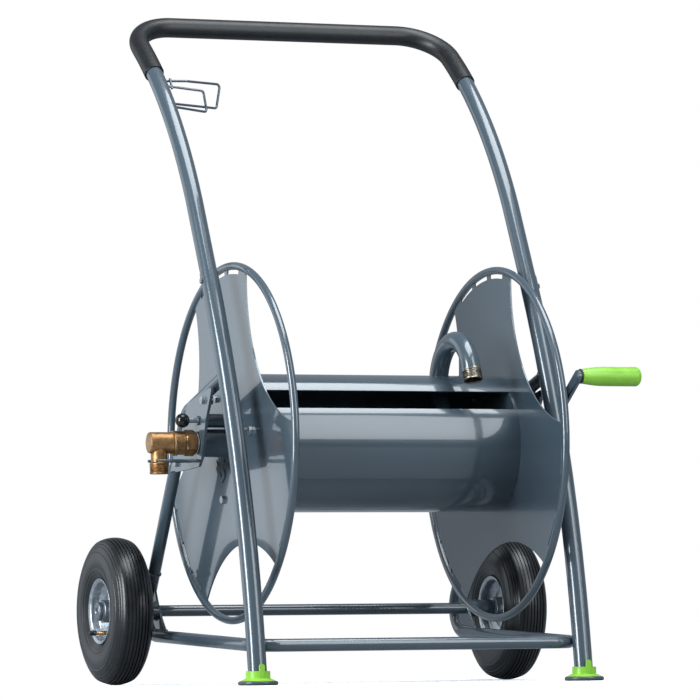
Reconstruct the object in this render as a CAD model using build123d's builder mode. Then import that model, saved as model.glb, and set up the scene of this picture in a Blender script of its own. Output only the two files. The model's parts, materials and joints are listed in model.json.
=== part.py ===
from build123d import *

import os
from math import asin, cos, degrees, hypot, radians, sin, sqrt, tan

os.makedirs("parts", exist_ok=True)

# Places are given from the frame's own datum: x from its middle plane, y from the
# front feet backwards, z from the floor. at() carries them to the model's origin,
# which is the middle of the footprint on the floor.

# shared clearances
tube_clearance = 0.1
bolt_clearance = 0.1
running_clearance = 0.1
bolt_tip = 1.0
bolt_end_gap = 1.0

# front legs and handle
leg_x = 300.0
leg_diameter = 32.0
leg_wall = 2.0
leg_foot_lean = 6.6
leg_bend_radius = 2030.0
seam_height = 708.0
handle_diameter = 30.0
handle_wall = 2.0
handle_straight = 124.0
handle_bend_radius = 894.0
handle_top_lean = 55.0
handle_corner_radius = 81.0
spigot_length = 60.0
spigot_wall = 1.6
grip_wall = 2.9
grip_start_lean = 49.35
seam_screw_diameter = 6.0
seam_screw_head = 10.0
seam_screw_head_height = 2.6
seam_screw_length = 12.0
seam_screw_drop = 14.0

# base loop and rear legs
rail_x = 296.0
rail_diameter = 22.0
rail_wall = 2.0
front_bar_height = 66.8
front_corner_radius = 40.0
loop_clearance = 0.3
rail_rise = 2.2
rear_corner_y = 591.0
rear_bend_radius = 46.0
rear_weld_height = 197.0
rear_leg_lean = 32.4
rear_leg_length = 456.3
rear_upper_radius = 50.0
upper_run_rise = 15.8

# wheels and axle
tyre_diameter = 260.0
tyre_width = 74.0
tyre_wall = 6.0
bead_diameter = 106.0
bead_width = 50.0
bead_flare = 1.5
tread_width = 50.0
groove_pitch = 6.5
groove_width = 2.4
groove_depth = 2.5
groove_count = 6
inner_tube_wall = 2.0
inner_tube_gap = 0.4
inner_tube_floor_gap = 3.0
rim_sheet = 2.0
rim_tyre_gap = 0.2
rim_flange_diameter = 122.0
rim_flange_reach = 30.0
rim_web_reach = 4.0
hub_diameter = 40.0
hub_length = 50.0
wheel_x = 375.5
axle_y = 507.6
axle_diameter = 20.0
axle_clearance = 0.1
axle_chamfer = 1.0
sleeve_diameter = 31.0
washer_diameter = 36.0
washer_thickness = 2.0
cap_diameter = 33.0
cap_dome = 5.0
valve_radius = 38.0
valve_stem_diameter = 8.0
valve_cap_diameter = 9.4
valve_cap_length = 13.0
valve_reach = 48.5
valve_bend_radius = 10.0
gusset_thickness = 4.0
gusset_rail_reach = 127.0
gusset_leg_reach = 113.0
gusset_hollow = 6.0

# feet
foot_plate_diameter = 68.0
foot_plate_thickness = 7.5
foot_plate_edge_flat = 0.8
foot_flange_diameter = 62.0
foot_flange_height = 4.5
foot_collar_diameter = 41.0
foot_collar_height = 12.0
foot_tab_width = 9.0
foot_tab_height = 24.0
foot_tab_thickness = 4.5

# reel
reel_y = 254.7
reel_z = 416.9
plate_x = 248.0
plate_thickness = 3.0
ring_radius = 306.5
ring_bar = 13.5
arm_count = 3
arm_angle = 80.5
cutout_radius = 255.0
cutout_distance = 435.0
slot_depth = 7.2
slot_width = 10.6
slot_pitch = 13.2
drum_diameter = 240.0
drum_sheet = 2.0
drum_gap_middle = 140.0
drum_gap_width = 21.0
hem_width = 7.2
hem_drop = 4.5
hem_notch_margin = 0.5
drum_flange_inner = 180.0
drum_flange_thickness = 2.5
plate_bolt_circle = 103.5
plate_bolt_turn = 30.0
plate_bolt_diameter = 8.0
plate_bolt_head = 13.0
plate_bolt_head_height = 5.3
plate_bolt_reach = 14.0
weld_nut_diameter = 15.0
weld_nut_height = 7.0
pipe_diameter = 33.7
pipe_wall = 3.2
pipe_inner_end = 190.0
hub_sleeve_diameter = 49.0
gooseneck_x = 156.0
gooseneck_angle = 70.1
gooseneck_wall = 2.6
gooseneck_rise = 82.0
gooseneck_bend_radius = 75.6
gooseneck_tail = 8.0
nipple_diameter = 33.2
nipple_length = 22.0
nipple_bore = 24.0
nipple_spigot = 12.0
nipple_chamfer = 1.0
shell_hole_clearance = 1.0

# bearing plates
bearing_plate_x = 307.0
bearing_plate_thickness = 5.0
bush_diameter = 40.0
bush_flange_diameter = 52.0
bush_flange_thickness = 1.8
end_play = 0.4
bearing_bolt_diameter = 8.0
bearing_bolt_head = 13.0
bearing_bolt_head_height = 5.3
bearing_tab_thickness = 4.0
bearing_tab_width = 26.0
bearing_corner_radius = 6.0

# water inlet swivel
nut_across_flats = 44.0
nut_start = 313.0
nut_end = 337.0
nut_collar = 9.0
swivel_shoulder_diameter = 46.0
swivel_shoulder_end = 359.0
swivel_body_diameter = 35.0
swivel_body_end = 400.0
swivel_spigot_diameter = 38.0
swivel_gap = 1.0
chamber_past = 2.0
inlet_x = 381.0
inlet_diameter = 31.0
inlet_thread_diameter = 33.2
inlet_thread_length = 16.0
inlet_drop = 54.0
water_bore = 25.0
pipe_end_x = 350.0
seal_thickness = 3.0
seal_width = 3.0
seal_pitch = 6.0
fork_rod_diameter = 5.0
fork_half_width = 20.2
fork_drop = 31.0
fork_reach = 394.0
fork_corner_radius = 7.0

# reel lock
lock_radius = 39.4
lock_angle = 104.3
lock_hole_count = 12
lock_pin_diameter = 8.0
lock_hole_diameter = 9.4
lock_clearance = 0.15
lock_travel = 12.0
lock_tip_gap = 6.5
lock_housing_diameter = 24.0
lock_housing_end = 258.0
lock_housing_wall = 4.0
lock_shoulder_diameter = 14.0
lock_shoulder_length = 4.0
lock_shoulder_margin = 6.0
lock_cap_wall = 2.0
lock_pin_chamfer = 0.8
lock_collar_diameter = 16.0
lock_collar_reach = 3.5
lock_knob_diameter = 25.0
lock_knob_x = 341.0
spring_wire = 1.4
spring_diameter = 13.6
spring_turns = 6

# strap lug on the left plate
lug_angle = -40.0
lug_distance = 66.0
lug_length = 54.0
lug_width = 26.0
lug_thickness = 2.5
lug_corner_radius = 8.7
lug_slot_length = 14.0
lug_slot_width = 4.5
lug_slot_spacing = 26.0

# crank
crank_arm_x = 332.0
crank_arm_thickness = 6.0
crank_arm_width = 22.0
crank_length = 202.7
crank_angle = 146.5
crank_journal_end = 314.0
crank_seat_diameter = 22.0
crank_tang = 13.0
drive_spigot = 18.0
crank_bolt_diameter = 8.0
crank_bolt_head = 13.0
crank_bolt_head_height = 5.3
crank_washer_diameter = 26.0
crank_washer_thickness = 2.0
spindle_diameter = 8.0
spindle_head_diameter = 15.0
spindle_head_height = 4.0
spindle_collar_diameter = 18.0
spindle_collar_height = 2.7
spindle_button_diameter = 11.0
spindle_button_height = 3.0
grip_gap = 0.3
crank_grip_length = 111.0
crank_grip_root_diameter = 26.0
crank_grip_tip_diameter = 34.0
crank_grip_end_wall = 6.0
crank_grip_taper = 46.0
crank_grip_end_radius = 8.0
crank_grip_root_slope = 0.12

# wire holder on the left handle tube
holder_wire = 4.4
holder_corner_radius = 6.0
holder_lean = 45.9

# what follows from those sizes
axle_z = tyre_diameter / 2
valve_end_x = wheel_x + valve_reach
crank_end_x = crank_arm_x + crank_arm_thickness + spindle_collar_height + grip_gap + crank_grip_length
origin_x = (crank_end_x - valve_end_x) / 2

leg_centre_y = leg_bend_radius * cos(radians(leg_foot_lean))
leg_centre_z = -leg_bend_radius * sin(radians(leg_foot_lean))
screw_height = seam_height - seam_screw_drop


def leg_y(height):
    """y of the front legs' centre line at a height"""
    return leg_centre_y - sqrt(leg_bend_radius**2 - (height - leg_centre_z) ** 2)


seam_y = leg_y(seam_height)
seam_lean = degrees(asin((seam_height - leg_centre_z) / leg_bend_radius))
bend_y = seam_y + handle_straight * sin(radians(seam_lean))
bend_z = seam_height + handle_straight * cos(radians(seam_lean))
handle_centre_y = bend_y + handle_bend_radius * cos(radians(seam_lean))
handle_centre_z = bend_z - handle_bend_radius * sin(radians(seam_lean))


def handle_point(lean):
    """(y, z) on the handle's long bend where the tube leans back by that angle"""
    y = handle_centre_y - handle_bend_radius * cos(radians(lean))
    z = handle_centre_z + handle_bend_radius * sin(radians(lean))
    return y, z


corner_y, corner_z = handle_point(handle_top_lean)
top_bar_y = corner_y + handle_corner_radius * sin(radians(handle_top_lean))
top_bar_z = corner_z + handle_corner_radius * cos(radians(handle_top_lean))

grip_radius = handle_diameter / 2 + tube_clearance + grip_wall
ring_front_y = reel_y - ring_radius - ring_bar / 2
origin_y = (top_bar_y + grip_radius + ring_front_y) / 2


def at(x, y, z):
    """a place on the frame, carried to the model's origin"""
    return Vector(x - origin_x, y - origin_y, z)


def side_plane(x, y=0.0, z=0.0):
    """upright plane across x: its own x runs backwards, its own y upwards"""
    return Plane(at(x, y, z), x_dir=(0, 1, 0), z_dir=(1, 0, 0))


def reel_plane(x):
    return side_plane(x, reel_y, reel_z)


def axle_plane(x):
    return side_plane(x, axle_y, axle_z)


def across(path):
    """plane square to the start of a path"""
    return Plane(origin=path @ 0, z_dir=path % 0)


def polar(radius, angle):
    """local point at a radius and an angle"""
    return radius * cos(radians(angle)), radius * sin(radians(angle))


def bar_along(path, radius):
    """solid round bar along a path, for cutting what meets it"""
    with BuildPart() as bar:
        with BuildSketch(across(path)):
            Circle(radius)
        sweep(path=path)
    return bar.part


hands = (("left", -1), ("right", 1))
wheel_axis = Axis(at(0, axle_y, axle_z), (1, 0, 0))

# ---- front legs ----


def leg_path(side, low, high):
    """centre line of a front leg between two heights"""
    middle = (low + high) / 2
    with BuildLine() as route:
        ThreePointArc(
            at(side * leg_x, leg_y(low), low),
            at(side * leg_x, leg_y(middle), middle),
            at(side * leg_x, leg_y(high), high),
        )
    return route.wire()


foot_top = foot_plate_thickness + foot_flange_height
leg_bars = {side: bar_along(leg_path(side, 0, seam_height), leg_diameter / 2) for hand, side in hands}
rail_radius = rail_diameter / 2

for hand, side in hands:
    path = leg_path(side, 0, seam_height)
    with BuildPart() as leg:
        with BuildSketch(across(path)):
            Circle(leg_diameter / 2)
            Circle(leg_diameter / 2 - leg_wall, mode=Mode.SUBTRACT)
        sweep(path=path)
        split(bisect_by=Plane.XY.offset(foot_top), keep=Keep.TOP)
        with BuildSketch(side_plane(side * leg_x, leg_y(screw_height), screw_height)):
            Circle(seam_screw_diameter / 2 + bolt_clearance)
        extrude(amount=side * leg_diameter, mode=Mode.SUBTRACT)
    leg.part.label = f"{hand}_leg"
    export_step(leg.part, f"parts/{hand}_leg.step")

# ---- handle ----


def handle_side(side):
    """points of one side of the handle, from the seam up to the corner of the top bar"""
    middle_lean = (seam_lean + handle_top_lean) / 2
    points = [(seam_y, seam_height), (bend_y, bend_z), handle_point(middle_lean), (corner_y, corner_z)]
    return [at(side * leg_x, y, z) for y, z in points]


def corner_middle(side):
    """middle of the bend between a side of the handle and its top bar"""
    along = handle_corner_radius * sin(radians(45))
    x = side * (leg_x - handle_corner_radius + along)
    y = corner_y + along * sin(radians(handle_top_lean))
    z = corner_z + along * cos(radians(handle_top_lean))
    return at(x, y, z)


def top_bar_end(side):
    return at(side * (leg_x - handle_corner_radius), top_bar_y, top_bar_z)


left_side, right_side = handle_side(-1), handle_side(1)
with BuildLine() as handle_path:
    Line(left_side[0], left_side[1])
    ThreePointArc(left_side[1], left_side[2], left_side[3])
    ThreePointArc(left_side[3], corner_middle(-1), top_bar_end(-1))
    Line(top_bar_end(-1), top_bar_end(1))
    ThreePointArc(top_bar_end(1), corner_middle(1), right_side[3])
    ThreePointArc(right_side[3], right_side[2], right_side[1])
    Line(right_side[1], right_side[0])

spigot_radius = leg_diameter / 2 - leg_wall - tube_clearance
with BuildPart() as handle_tube:
    with BuildSketch(across(handle_path.wire())):
        Circle(handle_diameter / 2)
        Circle(handle_diameter / 2 - handle_wall, mode=Mode.SUBTRACT)
    sweep(path=handle_path.wire())
    # reduced ends that slip down into the legs
    for hand, side in hands:
        path = leg_path(side, seam_height - spigot_length, seam_height)
        with BuildSketch(across(path)):
            Circle(spigot_radius)
            Circle(spigot_radius - spigot_wall, mode=Mode.SUBTRACT)
        sweep(path=path)
        with BuildSketch(side_plane(side * leg_x, leg_y(screw_height), screw_height)):
            Circle(seam_screw_diameter / 2 + bolt_clearance)
        extrude(amount=side * leg_diameter, mode=Mode.SUBTRACT)
handle_tube.part.label = "handle_tube"
export_step(handle_tube.part, "parts/handle_tube.step")

grip_middle_lean = (grip_start_lean + handle_top_lean) / 2


def grip_point(side, lean):
    y, z = handle_point(lean)
    return at(side * leg_x, y, z)


with BuildLine() as grip_path:
    ThreePointArc(grip_point(-1, grip_start_lean), grip_point(-1, grip_middle_lean), left_side[3])
    ThreePointArc(left_side[3], corner_middle(-1), top_bar_end(-1))
    Line(top_bar_end(-1), top_bar_end(1))
    ThreePointArc(top_bar_end(1), corner_middle(1), right_side[3])
    ThreePointArc(right_side[3], grip_point(1, grip_middle_lean), grip_point(1, grip_start_lean))

with BuildPart() as handle_grip:
    with BuildSketch(across(grip_path.wire())):
        Circle(grip_radius)
        Circle(grip_radius - grip_wall, mode=Mode.SUBTRACT)
    sweep(path=grip_path.wire())
handle_grip.part.label = "handle_grip"
export_step(handle_grip.part, "parts/handle_grip.step")

with BuildPart() as handle_screws:
    for hand, side in hands:
        screw_y = leg_y(screw_height)
        face = leg_x + leg_diameter / 2
        with BuildSketch(side_plane(side * face, screw_y, screw_height)):
            Circle(seam_screw_head / 2)
        extrude(amount=side * seam_screw_head_height)
        with BuildSketch(side_plane(side * face, screw_y, screw_height)):
            Circle(seam_screw_diameter / 2)
        extrude(amount=-side * seam_screw_length)
handle_screws.part.label = "handle_screws"
export_step(handle_screws.part, "parts/handle_screws.step")

# ---- feet ----

for hand, side in hands:
    socket = bar_along(leg_path(side, 0, seam_height), leg_diameter / 2 + tube_clearance)
    socket = split(socket, bisect_by=Plane.XY.offset(foot_top), keep=Keep.TOP)
    with BuildPart() as foot:
        with BuildSketch(Plane(at(side * leg_x, 0, foot_plate_thickness))):
            Circle(foot_flange_diameter / 2)
        with BuildSketch(Plane(at(side * leg_x, 0, foot_top))):
            Circle(foot_collar_diameter / 2)
        loft()
        with BuildSketch(Plane(at(side * leg_x, 0, foot_top))):
            Circle(foot_collar_diameter / 2)
        extrude(amount=foot_collar_height)
        tab_y = foot_tab_thickness / 2 - foot_collar_diameter / 2
        with BuildSketch(Plane(at(side * leg_x, tab_y, foot_top))):
            Rectangle(foot_tab_width, foot_tab_thickness)
        extrude(amount=foot_tab_height - foot_tab_width / 2)
        with BuildSketch(Plane(at(side * leg_x, tab_y, foot_top + foot_tab_height - foot_tab_width / 2),
                               x_dir=(1, 0, 0), z_dir=(0, 1, 0))):
            Circle(foot_tab_width / 2)
        extrude(amount=foot_tab_thickness / 2, both=True)
        add(socket, mode=Mode.SUBTRACT)
    foot.part.label = f"{hand}_foot"
    export_step(foot.part, f"parts/{hand}_foot.step")

with BuildPart() as foot_plates:
    for hand, side in hands:
        with BuildSketch(Plane(at(side * leg_x, 0, 0))):
            Circle(foot_plate_diameter / 2)
        extrude(amount=foot_plate_thickness)
    fillet(foot_plates.edges().filter_by(GeomType.CIRCLE), (foot_plate_thickness - foot_plate_edge_flat) / 2)
foot_plates.part.label = "foot_plates"
export_step(foot_plates.part, "parts/foot_plates.step")

# ---- base loop: front bar, side rails and rear bends in one tube ----

leg_radius = leg_diameter / 2
rail_along = (cos(radians(rail_rise)), sin(radians(rail_rise)))
leg_along = (-sin(radians(rear_leg_lean)), cos(radians(rear_leg_lean)))
run_along = (-cos(radians(upper_run_rise)), sin(radians(upper_run_rise)))

# the front corners just touch the legs from behind
corner_reach = leg_radius + rail_radius + front_corner_radius + loop_clearance
corner_offset = leg_x - rail_x + front_corner_radius
front_bar_y = leg_y(front_bar_height) - front_corner_radius + sqrt(corner_reach**2 - corner_offset**2)


def step(point, direction, distance):
    """(y, z) point moved along a direction"""
    return point[0] + direction[0] * distance, point[1] + direction[1] * distance


front_point = (front_bar_y, front_bar_height)
rear_corner = step(front_point, rail_along, (rear_corner_y - front_bar_y) / rail_along[0])
upper_corner = step(rear_corner, leg_along, rear_leg_length)
weld_point = step(rear_corner, leg_along, (rear_weld_height - rear_corner[1]) / leg_along[1])


def bend(corner, along_in, along_out, turn, radius):
    """start, middle and end of a bend that rounds a corner, as (y, z)"""
    tangent = radius * tan(radians(turn / 2))
    start = step(corner, along_in, -tangent)
    end = step(corner, along_out, tangent)
    inward = (along_out[0] - along_in[0], along_out[1] - along_in[1])
    size = hypot(*inward)
    inward = (inward[0] / size, inward[1] / size)
    middle = step(corner, inward, radius / cos(radians(turn / 2)) - radius)
    return start, middle, end


rear_turn = 90 + rear_leg_lean - rail_rise
upper_turn = 90 - upper_run_rise - rear_leg_lean
rear_bend = bend(rear_corner, rail_along, leg_along, rear_turn, rear_bend_radius)
upper_bend = bend(upper_corner, leg_along, run_along, upper_turn, rear_upper_radius)

rail_start = step(front_point, rail_along, front_corner_radius)
corner_sink = front_corner_radius * (1 - sin(radians(45)))
corner_mid = step(front_point, rail_along, corner_sink)


def rail_places(side):
    """places on one side of the base loop, from the front bar to the weld"""
    bar_end = at(side * (rail_x - front_corner_radius), front_bar_y, front_bar_height)
    corner = at(side * (rail_x - corner_sink), *corner_mid)
    rest = [at(side * rail_x, *point) for point in (rail_start, *rear_bend, weld_point)]
    return [bar_end, corner, *rest]


left_rail, right_rail = rail_places(-1), rail_places(1)
with BuildLine() as loop_path:
    Line(left_rail[6], left_rail[5])
    ThreePointArc(left_rail[5], left_rail[4], left_rail[3])
    Line(left_rail[3], left_rail[2])
    ThreePointArc(left_rail[2], left_rail[1], left_rail[0])
    Line(left_rail[0], right_rail[0])
    ThreePointArc(right_rail[0], right_rail[1], right_rail[2])
    Line(right_rail[2], right_rail[3])
    ThreePointArc(right_rail[3], right_rail[4], right_rail[5])
    Line(right_rail[5], right_rail[6])

loop_bar = bar_along(loop_path.wire(), rail_radius)
with BuildPart() as base_loop:
    with BuildSketch(across(loop_path.wire())):
        Circle(rail_radius)
        Circle(rail_radius - rail_wall, mode=Mode.SUBTRACT)
    sweep(path=loop_path.wire())
base_loop.part.label = "base_loop"
export_step(base_loop.part, "parts/base_loop.step")

# ---- rear legs with their upper runs ----

run_slope = tan(radians(upper_run_rise))
run_end_y = leg_y(upper_corner[1] + (upper_corner[0] - leg_y(upper_corner[1])) * run_slope)
run_end = step(upper_corner, run_along, (upper_corner[0] - run_end_y) / cos(radians(upper_run_rise)))
rear_bars = {}

for hand, side in hands:
    with BuildLine() as route:
        Line(at(side * rail_x, *weld_point), at(side * rail_x, *upper_bend[0]))
        ThreePointArc(*[at(side * rail_x, *point) for point in upper_bend])
        Line(at(side * rail_x, *upper_bend[2]), at(side * rail_x, *run_end))
    rear_bars[side] = bar_along(route.wire(), rail_radius)
    with BuildPart() as rear_leg:
        with BuildSketch(across(route.wire())):
            Circle(rail_radius)
            Circle(rail_radius - rail_wall, mode=Mode.SUBTRACT)
        sweep(path=route.wire())
        add(leg_bars[side], mode=Mode.SUBTRACT)
    rear_leg.part.label = f"{hand}_rear_leg"
    export_step(rear_leg.part, f"parts/{hand}_rear_leg.step")

# ---- gussets that carry the axle ----

inner_side = (-cos(radians(rear_leg_lean)), -sin(radians(rear_leg_lean)))
above_rail = (-sin(radians(rail_rise)), cos(radians(rail_rise)))
gusset_rail = step(rear_corner, rail_along, -gusset_rail_reach)
gusset_leg = step(rear_corner, leg_along, gusset_leg_reach)
edge_low = step(gusset_rail, above_rail, rail_radius)
edge_high = step(gusset_leg, inner_side, rail_radius)
edge_length = hypot(edge_high[0] - edge_low[0], edge_high[1] - edge_low[1])
towards_corner = (
    (edge_high[1] - edge_low[1]) / edge_length,
    (edge_low[0] - edge_high[0]) / edge_length,
)
edge_middle = ((edge_low[0] + edge_high[0]) / 2, (edge_low[1] + edge_high[1]) / 2)
edge_middle = step(edge_middle, towards_corner, gusset_hollow)

for hand, side in hands:
    with BuildPart() as gusset:
        with BuildSketch(side_plane(side * rail_x)):
            with BuildLine():
                Line(gusset_rail, rear_bend[0])
                ThreePointArc(*rear_bend)
                Line(rear_bend[2], gusset_leg)
                Line(gusset_leg, edge_high)
                ThreePointArc(edge_high, edge_middle, edge_low)
                Line(edge_low, gusset_rail)
            make_face()
            with Locations((axle_y, axle_z)):
                Circle(axle_diameter / 2 + axle_clearance, mode=Mode.SUBTRACT)
        extrude(amount=gusset_thickness / 2, both=True)
        add(loop_bar, mode=Mode.SUBTRACT)
    gusset.part.label = f"{hand}_gusset"
    export_step(gusset.part, f"parts/{hand}_gusset.step")

# ---- axle ----

hub_outer_x = wheel_x + hub_length / 2
hub_inner_x = wheel_x - hub_length / 2
outer_washer_x = hub_outer_x + end_play
cap_x = outer_washer_x + washer_thickness + tube_clearance
axle_end_x = cap_x + cap_dome
sleeve_end_x = hub_inner_x - end_play - washer_thickness
gusset_face_x = rail_x + gusset_thickness / 2

with BuildPart() as axle:
    with BuildSketch(axle_plane(0)):
        Circle(axle_diameter / 2)
    extrude(amount=axle_end_x, both=True)
    chamfer(axle.edges().filter_by(GeomType.CIRCLE), axle_chamfer)
axle.part.label = "axle"
export_step(axle.part, "parts/axle.step")

with BuildPart() as axle_sleeves:
    for hand, side in hands:
        with BuildSketch(axle_plane(side * gusset_face_x)):
            Circle(sleeve_diameter / 2)
            Circle(axle_diameter / 2 + axle_clearance, mode=Mode.SUBTRACT)
        extrude(amount=side * (sleeve_end_x - gusset_face_x))
    add(loop_bar, mode=Mode.SUBTRACT)
axle_sleeves.part.label = "axle_sleeves"
export_step(axle_sleeves.part, "parts/axle_sleeves.step")

with BuildPart() as axle_washers:
    for hand, side in hands:
        for face in (sleeve_end_x, outer_washer_x):
            with BuildSketch(axle_plane(side * face)):
                Circle(washer_diameter / 2)
                Circle(axle_diameter / 2 + axle_clearance, mode=Mode.SUBTRACT)
            extrude(amount=side * washer_thickness)
axle_washers.part.label = "axle_washers"
export_step(axle_washers.part, "parts/axle_washers.step")

with BuildPart() as axle_caps:
    for hand, side in hands:
        with BuildSketch(axle_plane(side * cap_x)):
            Circle(cap_diameter / 2)
        extrude(amount=side * (cap_dome + washer_thickness))
    outer_rims = [axle_caps.edges().sort_by(Axis.X)[0], axle_caps.edges().sort_by(Axis.X)[-1]]
    fillet(outer_rims, cap_dome / 2)
    for hand, side in hands:
        with BuildSketch(axle_plane(side * cap_x)):
            Circle(axle_diameter / 2 + axle_clearance)
        extrude(amount=side * (cap_dome + tube_clearance), mode=Mode.SUBTRACT)
axle_caps.part.label = "axle_caps"
export_step(axle_caps.part, "parts/axle_caps.step")

# ---- wheels ----

bead_radius = bead_diameter / 2
rim_seat = bead_radius - rim_tyre_gap
rim_flange_radius = rim_flange_diameter / 2
shoulder_radius = tyre_diameter / 2 - tyre_wall
bulge_radius = (rim_flange_radius + shoulder_radius) / 2
crown_radius = ((tread_width / 2) ** 2 + tyre_wall**2) / (2 * tyre_wall)
tube_floor = bead_radius + inner_tube_floor_gap


def wheel_section(side):
    """half plane through the wheel's axis: its own x outwards, its own y up the radius"""
    return Plane(at(side * wheel_x, axle_y, axle_z), x_dir=(side, 0, 0), z_dir=(0, -side, 0))


def tyre_outline(inset, floor):
    """section of the tyre, or of what lies inside it by an inset, down to a floor radius"""
    tread = tread_width / 2 - inset
    tread_top = shoulder_radius - inset
    crown = tyre_diameter / 2 - inset
    bead = bead_width / 2 - inset
    bulge = tyre_width / 2 - inset
    flare = bead + bead_flare
    with BuildSketch() as outline:
        with BuildLine():
            Line((-bead, floor), (bead, floor))
            Line((bead, floor), (flare, rim_flange_radius))
            ThreePointArc((flare, rim_flange_radius), (bulge, bulge_radius), (tread, tread_top))
            ThreePointArc((tread, tread_top), (0, crown), (-tread, tread_top))
            ThreePointArc((-tread, tread_top), (-bulge, bulge_radius), (-flare, rim_flange_radius))
            Line((-flare, rim_flange_radius), (-bead, floor))
        make_face()
    return outline.sketch


for hand, side in hands:
    with BuildPart() as tyre:
        with BuildSketch(wheel_section(side)):
            add(tyre_outline(0, bead_radius))
            add(tyre_outline(tyre_wall, bead_radius - tyre_wall), mode=Mode.SUBTRACT)
            for index in range(groove_count):
                groove_x = (index - (groove_count - 1) / 2) * groove_pitch
                drop = crown_radius - sqrt(crown_radius**2 - groove_x**2)
                groove_bottom = tyre_diameter / 2 - drop - groove_depth
                with Locations((groove_x, groove_bottom + groove_depth)):
                    Rectangle(groove_width, groove_depth * 2, mode=Mode.SUBTRACT)
        revolve(axis=wheel_axis)
    tyre.part.label = f"{hand}_tyre"
    export_step(tyre.part, f"parts/{hand}_tyre.step")

    with BuildPart() as inner_tube:
        with BuildSketch(wheel_section(side)):
            add(tyre_outline(tyre_wall + inner_tube_gap, tube_floor))
            hollow_inset = tyre_wall + inner_tube_gap + inner_tube_wall
            add(tyre_outline(hollow_inset, tube_floor + inner_tube_wall), mode=Mode.SUBTRACT)
        revolve(axis=wheel_axis)
    inner_tube.part.label = f"{hand}_inner_tube"
    export_step(inner_tube.part, f"parts/{hand}_inner_tube.step")

    # the valve bends out of the rim below the hub
    valve_plane = Plane(at(side * wheel_x, axle_y, axle_z), x_dir=(side, 0, 0), z_dir=(0, side, 0))
    with BuildLine(valve_plane) as valve_path:
        bend_top = valve_radius + valve_bend_radius
        Line((0, tube_floor - inner_tube_gap), (0, bend_top))
        bend_sink = valve_bend_radius * (1 - sin(radians(45)))
        bend_half = (bend_sink, valve_radius + bend_sink)
        ThreePointArc((0, bend_top), bend_half, (valve_bend_radius, valve_radius))
        Line((valve_bend_radius, valve_radius), (valve_reach - valve_cap_length, valve_radius))
    valve_hole = bar_along(valve_path.wire(), valve_stem_diameter / 2 + tube_clearance)
    with BuildPart() as valve:
        with BuildSketch(across(valve_path.wire())):
            Circle(valve_stem_diameter / 2)
        sweep(path=valve_path.wire())
        cap_start = at(side * (valve_end_x - valve_cap_length), axle_y, axle_z - valve_radius)
        with BuildSketch(Plane(cap_start, x_dir=(0, 1, 0), z_dir=(side, 0, 0))):
            Circle(valve_cap_diameter / 2)
        extrude(amount=valve_cap_length)
    valve.part.label = f"{hand}_valve"
    export_step(valve.part, f"parts/{hand}_valve.step")

    hub_seat = hub_diameter / 2 + tube_clearance
    web = rim_web_reach
    with BuildPart() as rim:
        for half in (-1, 1):
            outer_side = [
                (web + rim_sheet, hub_seat),
                (web + rim_sheet, valve_radius),
                (bead_width / 4, rim_seat - rim_sheet),
                (bead_width / 2 + rim_sheet, rim_seat - rim_sheet),
                (rim_flange_reach, rim_flange_radius),
            ]
            tyre_side = [
                (rim_flange_reach - rim_sheet, rim_flange_radius),
                (bead_width / 2 + rim_tyre_gap, rim_seat),
                (bead_width / 4 - rim_sheet / 2, rim_seat),
                (web, valve_radius + rim_sheet / 2),
                (web, hub_seat),
            ]
            with BuildSketch(wheel_section(side)):
                with BuildLine():
                    Polyline(*[(half * x, r) for x, r in outer_side + tyre_side], close=True)
                make_face()
            revolve(axis=wheel_axis)
        add(valve_hole, mode=Mode.SUBTRACT)
    rim.part.label = f"{hand}_rim"
    export_step(rim.part, f"parts/{hand}_rim.step")

    with BuildPart() as hub:
        with BuildSketch(axle_plane(side * wheel_x)):
            Circle(hub_diameter / 2)
            Circle(axle_diameter / 2 + axle_clearance, mode=Mode.SUBTRACT)
        extrude(amount=hub_length / 2, both=True)
    hub.part.label = f"{hand}_wheel_hub"
    export_step(hub.part, f"parts/{hand}_wheel_hub.step")

# ---- reel: side plates, rings and drum ----

reel_axis = Axis(at(0, reel_y, reel_z), (1, 0, 0))
plate_edge = ring_radius - ring_bar / 2
plate_inner_x = plate_x - plate_thickness / 2
plate_outer_x = plate_x + plate_thickness / 2
shaft_radius = pipe_diameter / 2
bolt_angle = arm_angle - plate_bolt_turn
arm_pitch = 360 / arm_count


def ring_sector(inner, outer, middle, width):
    """part of a flat ring, between two radii, about a middle angle"""
    first = middle - width / 2
    with BuildSketch() as sector:
        with BuildLine():
            near = CenterArc((0, 0), inner, first, width)
            far = CenterArc((0, 0), outer, first, width)
            Line(near @ 0, far @ 0)
            Line(near @ 1, far @ 1)
        make_face()
    return sector.sketch


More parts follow.
